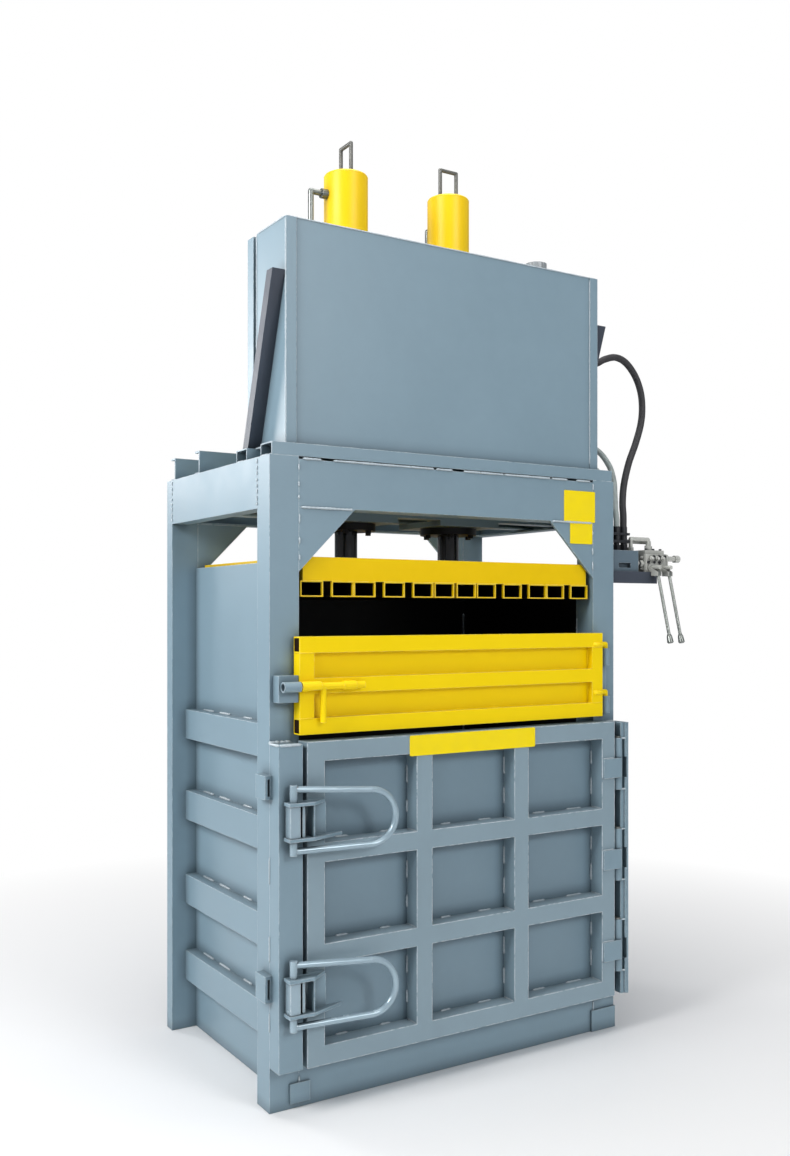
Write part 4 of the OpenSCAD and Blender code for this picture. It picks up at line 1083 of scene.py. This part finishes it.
@dataclass
class MainDoor:
    """Ribbed main door with its hinges, latches and sign, and the two columns that hold it.

    Each strip of the hinge column gives how far it keeps below and above a strap's middle, and its
    near and far corners in X and Y, in millimetres.
    """

    x0: float = -605.5 * MM
    x1: float = 644 * MM
    z0: float = 140 * MM
    height: float = 990 * MM
    rib_w: float = 60 * MM
    sheet_y: float = -439 * MM
    face_y: float = -499 * MM
    cells: int = 3
    cell_inset: float = 8 * MM
    cell_seat: float = 1.5 * MM
    cell_depth: float = 5 * MM
    level_weld: Weld = Weld(4.6 * MM, 70 * MM, 42 * MM)
    upright_weld: Weld = Weld(4.6 * MM, 60 * MM, 34 * MM)
    corner_weld: Weld = Weld(3.4 * MM)
    strap_z: tuple[float, ...] = (305 * MM, 634 * MM, 963 * MM)
    strap_h: float = 70 * MM
    strap_x: tuple[float, float] = (586 * MM, 641 * MM)
    strap_end: float = 585 * MM
    strap_weld: Weld = Weld(3.6 * MM)
    column_drop: float = 5 * MM
    lock_x: tuple[float, float] = (-698 * MM, -622 * MM)
    lock_y: tuple[float, float] = (-433.5 * MM, -495 * MM)
    lock_side: tuple[float, tuple[float, float]] = (-699.5 * MM, (-495 * MM, -434 * MM))
    lock_weld: Weld = Weld(4.6 * MM)
    lump_place: tuple[tuple[float, float], float] = ((-704 * MM, -630 * MM), -435 * MM)
    lump_weld: Weld = Weld(6.4 * MM, 26 * MM, -8 * MM)
    post_place: tuple[float, float] = (-700 * MM, -433 * MM)
    post_insets: tuple[float, float] = (5 * MM, 0.02)
    post_weld: Weld = Weld(3.4 * MM, 80 * MM, 120 * MM)
    hinge_top: tuple[tuple[float, float], float] = ((653 * MM, 699 * MM), -434 * MM)
    hinge_weld: Weld = Weld(3.6 * MM, 40 * MM, 4 * MM)
    knuckle_place: tuple[float, float] = (687 * MM, -462 * MM)
    knuckle_ends: tuple[tuple[float, float], ...] = ((675 * MM, 697 * MM), (-497 * MM, -500 * MM))
    knuckle_runs: tuple[tuple[float, float], float] = ((3 * MM, 66 * MM), 42 * MM)
    knuckle_levels: tuple[float, float] = (-79.5 * MM, 104.5 * MM)
    knuckle_weld: Weld = Weld(3.4 * MM)
    strips: tuple[tuple[float, float, tuple[float, float], tuple[float, float]], ...] = (
        (82, 107, (674, -497), (700.5, -470)),
        (37, 37, (690.8, -501.5), (700.5, -474)),
    )
    strip_corner: float = 3 * MM
    sign: tuple[float, float, float, float] = (-237 * MM, 275 * MM, 1063 * MM, 1129 * MM)
    sign_t: float = 2 * MM
    sign_corner: float = 5 * MM

    def dress(self, paints: Paints) -> None:
        """Give the door, its latches and the columns their finishes.

        Args:
            paints: the finishes.
        """
        paints.dress("grey_enamel_door_shaded", "main_door_sheet")
        paints.dress("grey_enamel_ribs_lit", "main_door_frame")
        paints.dress("grey_enamel", "lock_column", "hinge_column", "latch_ears", "main_door_straps",
                     "hinge_knuckles")
        paints.dress("latch_steel_sheen", "latch_upper", "latch_lower")
        paints.dress("zinc_plate", "hinge_pins")

    def build_welds(self, paints: Paints) -> None:
        """Lay the beads inside the door's cells, where ribs meet the sheet and each other.

        Args:
            paints: the finishes.
        """
        px = (self.x1 - self.x0 - self.rib_w) / self.cells
        pz = (self.height - self.rib_w) / self.cells
        y, out, gap = self.sheet_y - self.cell_seat, self.face_y + self.cell_depth, self.cell_inset
        beads = []
        for i in range(self.cells):
            for k in range(self.cells):
                xa, xb = self.x0 + i * px + self.rib_w, self.x0 + (i + 1) * px
                za, zb = self.z0 + k * pz + self.rib_w, self.z0 + (k + 1) * pz
                for z in (za, zb):
                    beads += self.level_weld.stitch((xa + gap, xb - gap), y, z)
                for x in (xa, xb):
                    beads += self.upright_weld.stitch(x, y, (za + gap, zb - gap))
                    beads += [self.corner_weld.run(x, (y, out), z, i + 2.0 * k) for z in (za, zb)]
        front, half = self.face_y - SEAT, self.strap_h / 2
        for z in self.strap_z:
            for level in (z - half, z + half):
                beads.append(self.strap_weld.run(self.strap_x, front, level, z * 5.0))
            beads.append(self.strap_weld.run(self.strap_end, front, (z - half, z + half), z))
        paints.piece("door_welds", beads, "grey_weld_highlit", Body.MAIN_DOOR)

    def build_strips(self, paints: Paints, top: float) -> None:
        """Bring the hinge column forward to its flange, between the straps and their knuckles.

        Args:
            paints: the finishes.
            top: height of the column's top.
        """
        boxes = []
        for below, above, near, far in self.strips:
            ends = [self.z0 + SEAT]
            ends += [e for z in self.strap_z for e in (z - below * MM, z + above * MM)] + [top]
            for low, high in zip(ends[::2], ends[1::2]):
                boxes.append(rounded_box((near[0] * MM, near[1] * MM, low), (far[0] * MM, far[1] * MM, high),
                                         self.strip_corner))
        paints.piece("hinge_column_strips", boxes, "grey_enamel", Body.FRAME, smooth=False)

    def build_column_welds(self, paints: Paints, top: float) -> None:
        """Lay the beads of the lock column, the hinge column and the hinge knuckles.

        Args:
            paints: the finishes.
            top: height of the columns' tops.
        """
        crest, half = top - SEAT, self.strap_h / 2
        upright = (self.z0 + self.post_insets[0], top - self.post_insets[1])
        beads = [self.lock_weld.run(self.lock_x, y, crest, y) for y in self.lock_y]
        beads += self.lump_weld.stitch(*self.lump_place, top + 2 * SEAT)
        beads.append(self.lock_weld.run(*self.lock_side, crest, 2.0))
        beads += self.post_weld.stitch(*self.post_place, upright)
        beads += self.hinge_weld.stitch(*self.hinge_top, top)
        (gap, above), below = self.knuckle_runs
        for z in self.strap_z:
            for span in ((z + half + gap, z + half + above), (z - half - below, z - half - gap)):
                beads.append(self.knuckle_weld.run(*self.knuckle_place, span, z * 3.0))
            for level in self.knuckle_levels:
                beads.append(self.knuckle_weld.run(*self.knuckle_ends, z + level, z * 7.0))
        paints.piece("column_welds", beads, "grey_weld_highlit", Body.FRAME)

    def build_sign(self, paints: Paints) -> None:
        """Fix the bare warning sign, a thin plate, on the top rail.

        Args:
            paints: the finishes.
        """
        x0, x1, z0, z1 = self.sign
        plate = rounded_box((x0, self.face_y - self.sign_t, z0), (x1, self.face_y, z1), self.sign_corner)
        paints.piece("door_sign", [plate], "sign_yellow", Body.MAIN_DOOR, smooth=False)

    def build(self, paints: Paints) -> None:
        """Dress the CAD nodes and add welds, strips and sign.

        Args:
            paints: the finishes.
        """
        top = self.z0 + self.height - self.column_drop
        self.dress(paints)
        self.build_welds(paints)
        self.build_strips(paints, top)
        self.build_column_welds(paints, top)
        self.build_sign(paints)


@dataclass
class FeedDoor:
    """Upper door with its bolt, guides and hinge."""

    x0: float = -620 * MM
    x1: float = 606 * MM
    z0: float = 1150 * MM
    z1: float = 1450 * MM
    mid: tuple[float, float] = (1275 * MM, 1322 * MM)
    tube_w: float = 50 * MM
    wall: float = 4.5 * MM
    face_y: float = -477 * MM
    sheet_y: float = -451 * MM
    back_y: float = -437 * MM
    field_seat: float = 1.2 * MM
    field_insets: tuple[float, float] = (0.01, 5 * MM)
    field_weld: Weld = Weld(3.4 * MM, 44 * MM, 110 * MM)
    corner_weld: Weld = Weld(3.0 * MM)
    joint_weld: Weld = Weld(2.2 * MM)
    rod_x: float = 562 * MM
    rod_depth: float = 2 * MM
    rod_z: tuple[float, float] = (1235 * MM, 1408 * MM)
    rod: tuple[tuple[float, float], ...] = ((5 * MM, 0.0), (9 * MM, 3 * MM), (9 * MM, 41 * MM),
                                            (6 * MM, 43.5 * MM))
    mouth_x: tuple[float, float] = (0.6 * MM, 0.5 * MM)
    mouth_corner: float = 0.4 * MM

    def dress(self, paints: Paints) -> None:
        """Give the door and its bolt their yellow enamel, and what is on the posts its grey."""
        paints.dress("yellow_enamel", "feed_door", "feed_bolt")
        paints.dress("grey_enamel", "bolt_receiver", "feed_hinge_bracket")

    def build_welds(self, paints: Paints) -> None:
        """Lay the beads in the door's corners and along its sheet, and the rods of its hinge pins.

        Args:
            paints: the finishes.
        """
        beads = []
        y, (along, up) = self.sheet_y - self.field_seat, self.field_insets
        xa, xb = self.x0 + self.tube_w, self.x1 - self.tube_w
        rails = (self.z0 + self.tube_w, self.z1 - self.tube_w)
        for low, high in ((rails[0], self.mid[0]), (self.mid[1], rails[1])):
            for z in (low, high):
                beads += self.field_weld.stitch((xa + along, xb - along), y, z)
            for x in (xa, xb):
                beads.append(self.field_weld.run(x, y, (low + up, high - up), x * 9.0))
        for x in (xa, xb):
            for z in (*rails, *self.mid):
                beads.append(self.corner_weld.run(x, (self.face_y + SEAT / 2, y), (z - SEAT, z), z * 7.0))
        depth = (self.face_y + SEAT, self.back_y - SEAT)
        for z in rails:
            for low, high in ((self.x0, xa), (xb, self.x1)):
                beads.append(self.joint_weld.run((low + SEAT, high - SEAT), self.face_y, z, z * 5.0))
            beads.append(self.joint_weld.run(self.x0, depth, z, z * 3.0))
        paints.piece("feed_door_welds", beads, "yellow_enamel", Body.FEED_DOOR)
        rods = [turned((self.rod_x, self.face_y + self.rod_depth, z), 0, self.rod) for z in self.rod_z]
        paints.piece("feed_hinge_rods", rods, "yellow_enamel", Body.FEED_DOOR)

    def build_mouths(self, paints: Paints) -> None:
        """Close the open mouths of the top and bottom rails in the door's free end with dark brown plates,
        painted shade of the tubes' insides.

        Args:
            paints: the finishes.
        """
        mouths = []
        for low in (self.z0 + self.wall, self.z1 - self.tube_w + self.wall):
            near = (self.x0 - self.mouth_x[0], self.face_y + self.wall, low)
            far = (self.x0 + self.mouth_x[1], self.back_y - self.wall, low + self.tube_w - 2 * self.wall)
            mouths.append(rounded_box(near, far, self.mouth_corner))
        paints.piece("feed_door_mouths", mouths, "tube_mouth_shade", Body.FEED_DOOR, smooth=False)

    def build(self, paints: Paints) -> None:
        """Dress the CAD nodes and add the welds and the rails' mouths.

        Args:
            paints: the finishes.
        """
        self.dress(paints)
        self.build_welds(paints)
        self.build_mouths(paints)


@dataclass
class Platen:
    """Pressing platen of box tubes on the two rods."""

    tubes: tuple[float, ...] = (45 * MM, 130 * MM, 243 * MM, 355 * MM, 436 * MM, 547 * MM)
    front: float = -417 * MM
    top: float = 1623 * MM
    weld_run: float = 0.02
    weld_depth: float = 3 * MM
    tube_weld: Weld = Weld(2.4 * MM, 20 * MM, 2 * MM)

    def build(self, paints: Paints) -> None:
        """Dress the platen and lay the beads of its tubes under the cross beams.

        Args:
            paints: the finishes.
        """
        paints.dress("yellow_tubes_shaded", "platen_tubes")
        paints.dress("yellow_platen_shaded", "platen_beams")
        paints.dress("rod_black", "piston_rods")
        beads, y = [], self.front + self.weld_depth
        for x in self.tubes:
            for side in SIDES:
                beads += self.tube_weld.stitch((side * x, side * x + self.weld_run), y, self.top)
        paints.piece("platen_welds", beads, "yellow_platen_shaded", Body.PLATEN)


@dataclass
class Cylinders:
    """Two yellow hydraulic cylinders with their pipes and handles."""

    pitch: float = 440 * MM
    axis_y: float = -55 * MM
    radius: float = 78 * MM
    top: float = 3070 * MM
    plate_top: float = 1856 * MM
    foot_weld: float = 5.5 * MM
    cap_weld: float = 0.9 * MM
    cap_drop: float = 8.6 * MM
    sunk: float = 0.6 * MM

    def build_rings(self, paints: Paints) -> None:
        """Lay the round welds at the crosshead and the cap.

        Args:
            paints: the finishes.
        """
        levels = ((self.plate_top + SEAT, self.foot_weld), (self.top - self.cap_drop, self.cap_weld))
        rings = [ring_weld((side * self.pitch / 2, self.axis_y, z), self.radius - self.sunk, thick, side)
                 for side in SIDES for z, thick in levels]
        paints.piece("cylinder_welds", rings, "yellow_cylinder", Body.FRAME)

    def build(self, paints: Paints) -> None:
        """Dress the CAD nodes and add the ring welds.

        Args:
            paints: the finishes.
        """
        paints.dress("yellow_cylinder", "cylinder_left", "cylinder_right")
        paints.dress("zinc_plate", "cylinder_pipes")
        paints.dress("handle_steel", "lifting_handles")
        self.build_rings(paints)


@dataclass
class OilTank:
    """Sheet-steel oil tank with welded corner strips."""

    half_x: float = 635.5 * MM
    front: float = -412 * MM
    back: float = -203 * MM
    z0: float = 2046 * MM
    z1: float = 2748 * MM
    inset: float = 5 * MM
    edge_weld: Weld = Weld(2.6 * MM)
    strip_w: float = 35 * MM
    strip_insets: tuple[float, float] = (20 * MM, 8 * MM)
    strip_weld: Weld = Weld(2.0 * MM)
    foot_x: float = 0.655
    foot_inset: float = 4 * MM
    foot_weld: Weld = Weld(4.0 * MM, 60 * MM, 24 * MM)
    seam_end: float = 0.63
    top_weld: Weld = Weld(2.4 * MM)
    low_weld: Weld = Weld(3.0 * MM)

    def build_welds(self, paints: Paints) -> None:
        """Lay the beads along the tank's edges, its corner strips and its feet.

        Args:
            paints: the finishes.
        """
        front, back, z0, z1, gap = self.front, self.back, self.z0, self.z1, self.inset
        upright = (z0 + self.strip_insets[0], z1 - self.strip_insets[1])
        depth = (front + self.foot_inset, back - self.foot_inset)
        along, foot = (-self.seam_end, self.seam_end), z0 + SEAT
        beads = []
        for side in SIDES:
            x = side * self.half_x
            beads += [self.edge_weld.run(x, y, (z0 + gap, z1 - gap), side + y) for y in (front, back)]
            beads.append(self.edge_weld.run(x, (front + gap, back - gap), z1, side))
            beads.append(self.strip_weld.run(side * (self.half_x - self.strip_w), front - SEAT, upright, 0.4))
            beads += self.foot_weld.stitch(side * self.foot_x, depth, foot)
        beads.append(self.top_weld.run(along, front, z1, 0.2))
        beads.append(self.top_weld.run(along, back, z1, 0.9))
        beads.append(self.low_weld.run(along, front, foot, 0.6))
        paints.piece("tank_welds", beads, "grey_weld_highlit", Body.FRAME)

    def build(self, paints: Paints) -> None:
        """Dress the tank and its fittings and add the welds.

        Args:
            paints: the finishes.
        """
        paints.dress("grey_enamel", "oil_tank", "tank_uprights")
        paints.dress("cap_grey", "filler_cap")
        paints.dress("zinc_plate", "tank_adapter")
        self.build_welds(paints)


@dataclass
class PowerPack:
    """Electric motor and pump on the deck behind the tank."""

    axis: tuple[float, float] = (278 * MM, 2237 * MM)
    fan_x: float = -390 * MM
    wire: float = 1.6 * MM
    wire_seat: float = 1.2 * MM
    hoops: tuple[float, ...] = (24 * MM, 46 * MM, 68 * MM, 90 * MM)
    hoop_sides: int = 24
    spokes: int = 8
    spoke: tuple[float, float] = (22 * MM, 92 * MM)

    def build_grille(self, paints: Paints) -> None:
        """Lay the fan's wire hoops, each a ring of straight wires, and the spokes over them.

        Args:
            paints: the finishes.
        """
        wires = []
        centre = np.array([self.fan_x - self.wire_seat, *self.axis])
        angle = np.linspace(0.0, 2.0 * pi, self.hoop_sides + 1)
        hoop = np.stack([np.zeros_like(angle), np.cos(angle), np.sin(angle)], -1)
        for radius in self.hoops:
            ring = centre + radius * hoop
            wires += [bead(a, b, self.wire, 0.0, pitch=4 * MM) for a, b in zip(ring[:-1], ring[1:])]
        for k in range(self.spokes):
            turn = k * 2.0 * pi / self.spokes
            way = np.array([0.0, np.cos(turn), np.sin(turn)])
            wires.append(bead(centre + way * self.spoke[0], centre + way * self.spoke[1], self.wire, 0.0,
                              pitch=12 * MM))
        paints.piece("fan_grille", wires, "dark_plate", Body.FRAME)

    def build(self, paints: Paints) -> None:
        """Dress the motor, bell and pump, and add the fan's wire grille.

        Args:
            paints: the finishes.
        """
        paints.dress("motor_enamel", "motor")
        paints.dress("slate_enamel", "motor_base")
        paints.dress("grey_enamel", "pump_housing")
        paints.dress("zinc_plate", "pump", "drive_shaft")
        self.build_grille(paints)


@dataclass
class ValveGroup:
    """Manifold, spool valve, levers and hose ends on the right bracket.

    Each small fitting is a profile of radii and heights, turned with six sides or round.
    """

    body: Box = ((0.878, -0.412, 1.678), (1.000, -0.332, 1.762))
    lever_x: tuple[float, float] = (909 * MM, 967 * MM)
    union_x: float = 845 * MM
    bolt: tuple[tuple[float, float], ...] = ((5.5 * MM, 0.0), (5.5 * MM, 5 * MM), (4.6 * MM, 6 * MM),
                                             (2.6 * MM, 6 * MM), (2.6 * MM, 2.5 * MM))
    plug: tuple[tuple[float, float], ...] = ((10 * MM, 0.0), (10 * MM, 6 * MM), (8 * MM, 8 * MM),
                                             (6.5 * MM, 8 * MM), (6.5 * MM, 13 * MM), (4 * MM, 15 * MM))
    nut: tuple[tuple[float, float], ...] = ((6.5 * MM, 0.0), (6.5 * MM, 6 * MM), (4 * MM, 7 * MM),
                                            (4 * MM, 11 * MM))
    union: tuple[tuple[float, float], ...] = ((14 * MM, 0.0), (14 * MM, 9 * MM), (11 * MM, 10 * MM),
                                              (11 * MM, 18 * MM), (15 * MM, 19 * MM), (15 * MM, 32.8 * MM))
    collar: tuple[tuple[float, float], ...] = ((11.6 * MM, 11 * MM), (12.6 * MM, 13 * MM),
                                               (11.6 * MM, 17 * MM))
    plug_z: float = 52 * MM
    bolt_places: tuple[tuple[float, float], ...] = ((-14 * MM, 38 * MM), (13 * MM, 60 * MM))
    nut_y: float = 14 * MM
    nut_z: tuple[float, float] = (12 * MM, 28 * MM)
    union_y: tuple[float, float] = (17 * MM, 53 * MM)
    union_z: float = 32 * MM
    cap_bolts: tuple[float, ...] = (24 * MM, 61 * MM, 98 * MM)
    cap_bolt_y: float = 18 * MM
    rim_x: tuple[float, ...] = (7 * MM, 41 * MM, 81 * MM)
    rim_z: tuple[float, float] = (6 * MM, 17 * MM)
    rim_half: float = 3 * MM
    rim_t: float = 2.4 * MM

    def build_sections(self, paints: Paints) -> None:
        """Show the body's cast sections by raised joint rims on its front and back.

        Args:
            paints: the finishes.
        """
        (x0, y0, z0), (x1, y1, z1) = self.body
        half, low, high = self.rim_half, z0 + self.rim_z[0], z1 - self.rim_z[1]
        rims = [rounded_box((x - half, near, low), (x + half, far, high), self.rim_t)
                for x in (*(x0 + along for along in self.rim_x), x1 - self.rim_x[0])
                for near, far in ((y0 - self.rim_t, y0), (y1, y1 + self.rim_t))]
        paints.piece("valve_sections", rims, "valve_cast", Body.FRAME, smooth=False)

    def build_fittings(self, paints: Paints) -> None:
        """Fit the plugs, bolts, tie-rod nuts and the unions between manifold and body.

        Args:
            paints: the finishes.
        """
        (x0, y0, z0), (x1, y1, z1) = self.body
        bright, dark = [], []
        for x in (*self.lever_x, (x0 + x1) / 2):
            bright.append(turned((x, y0, z0 + self.plug_z), 1, self.plug, 6, -1.0))
            for along, up in self.bolt_places:
                dark.append(turned((x + along, y0, z0 + up), 1, self.bolt, 12, -1.0))
        for y in (y0 + self.nut_y, y1 - self.nut_y):
            for z in (z0 + self.nut_z[0], z1 - self.nut_z[1]):
                bright += [turned((x, y, z), 0, self.nut, 6, way) for x, way in ((x0, -1.0), (x1, 1.0))]
        for deep in self.union_y:
            place = (self.union_x, y0 + deep, z0 + self.union_z)
            bright.append(turned(place, 0, self.union, 6))
            dark.append(turned(place, 0, self.collar, 24))
        for along in self.cap_bolts:
            dark.append(turned((x0 + along, y0 + self.cap_bolt_y, z1), 2, self.bolt, 12))
        paints.piece("valve_fittings", bright, "valve_cast", Body.FRAME, smooth=False)
        paints.piece("valve_bolts", dark, "fitting_black", Body.FRAME, smooth=False)

    def build(self, paints: Paints) -> None:
        """Dress the CAD nodes and add the small fittings.

        Args:
            paints: the finishes.
        """
        paints.dress("valve_cast", "valve_body", "valve_pipes", "spool_left", "spool_right")
        paints.dress("zinc_plate", "lever_left", "lever_right")
        paints.dress("manifold_enamel", "manifold_block")
        paints.dress("fitting_black", "hose_fittings")
        self.build_sections(paints)
        self.build_fittings(paints)


@dataclass
class Baler:
    """The whole machine, built in order: camera and hoses first."""

    studio: Studio = field(default_factory=Studio)
    walls: BaseAndWalls = field(default_factory=BaseAndWalls)
    crown: Crown = field(default_factory=Crown)
    main_door: MainDoor = field(default_factory=MainDoor)
    feed_door: FeedDoor = field(default_factory=FeedDoor)
    platen: Platen = field(default_factory=Platen)
    cylinders: Cylinders = field(default_factory=Cylinders)
    tank: OilTank = field(default_factory=OilTank)
    power: PowerPack = field(default_factory=PowerPack)
    valve: ValveGroup = field(default_factory=ValveGroup)

    def build(self) -> None:
        """Build everything around the frame."""
        self.studio.build_camera()
        paints = Paints(build_surface_group())
        paints.build()
        for part in (*HOSES, self.walls, self.crown, self.main_door, self.feed_door, self.platen,
                     self.cylinders, self.tank, self.power, self.valve):
            part.build(paints)
        self.studio.build()


def main() -> None:
    """Build the baler's looks."""
    Baler().build()


if __name__ == "__main__":
    main()
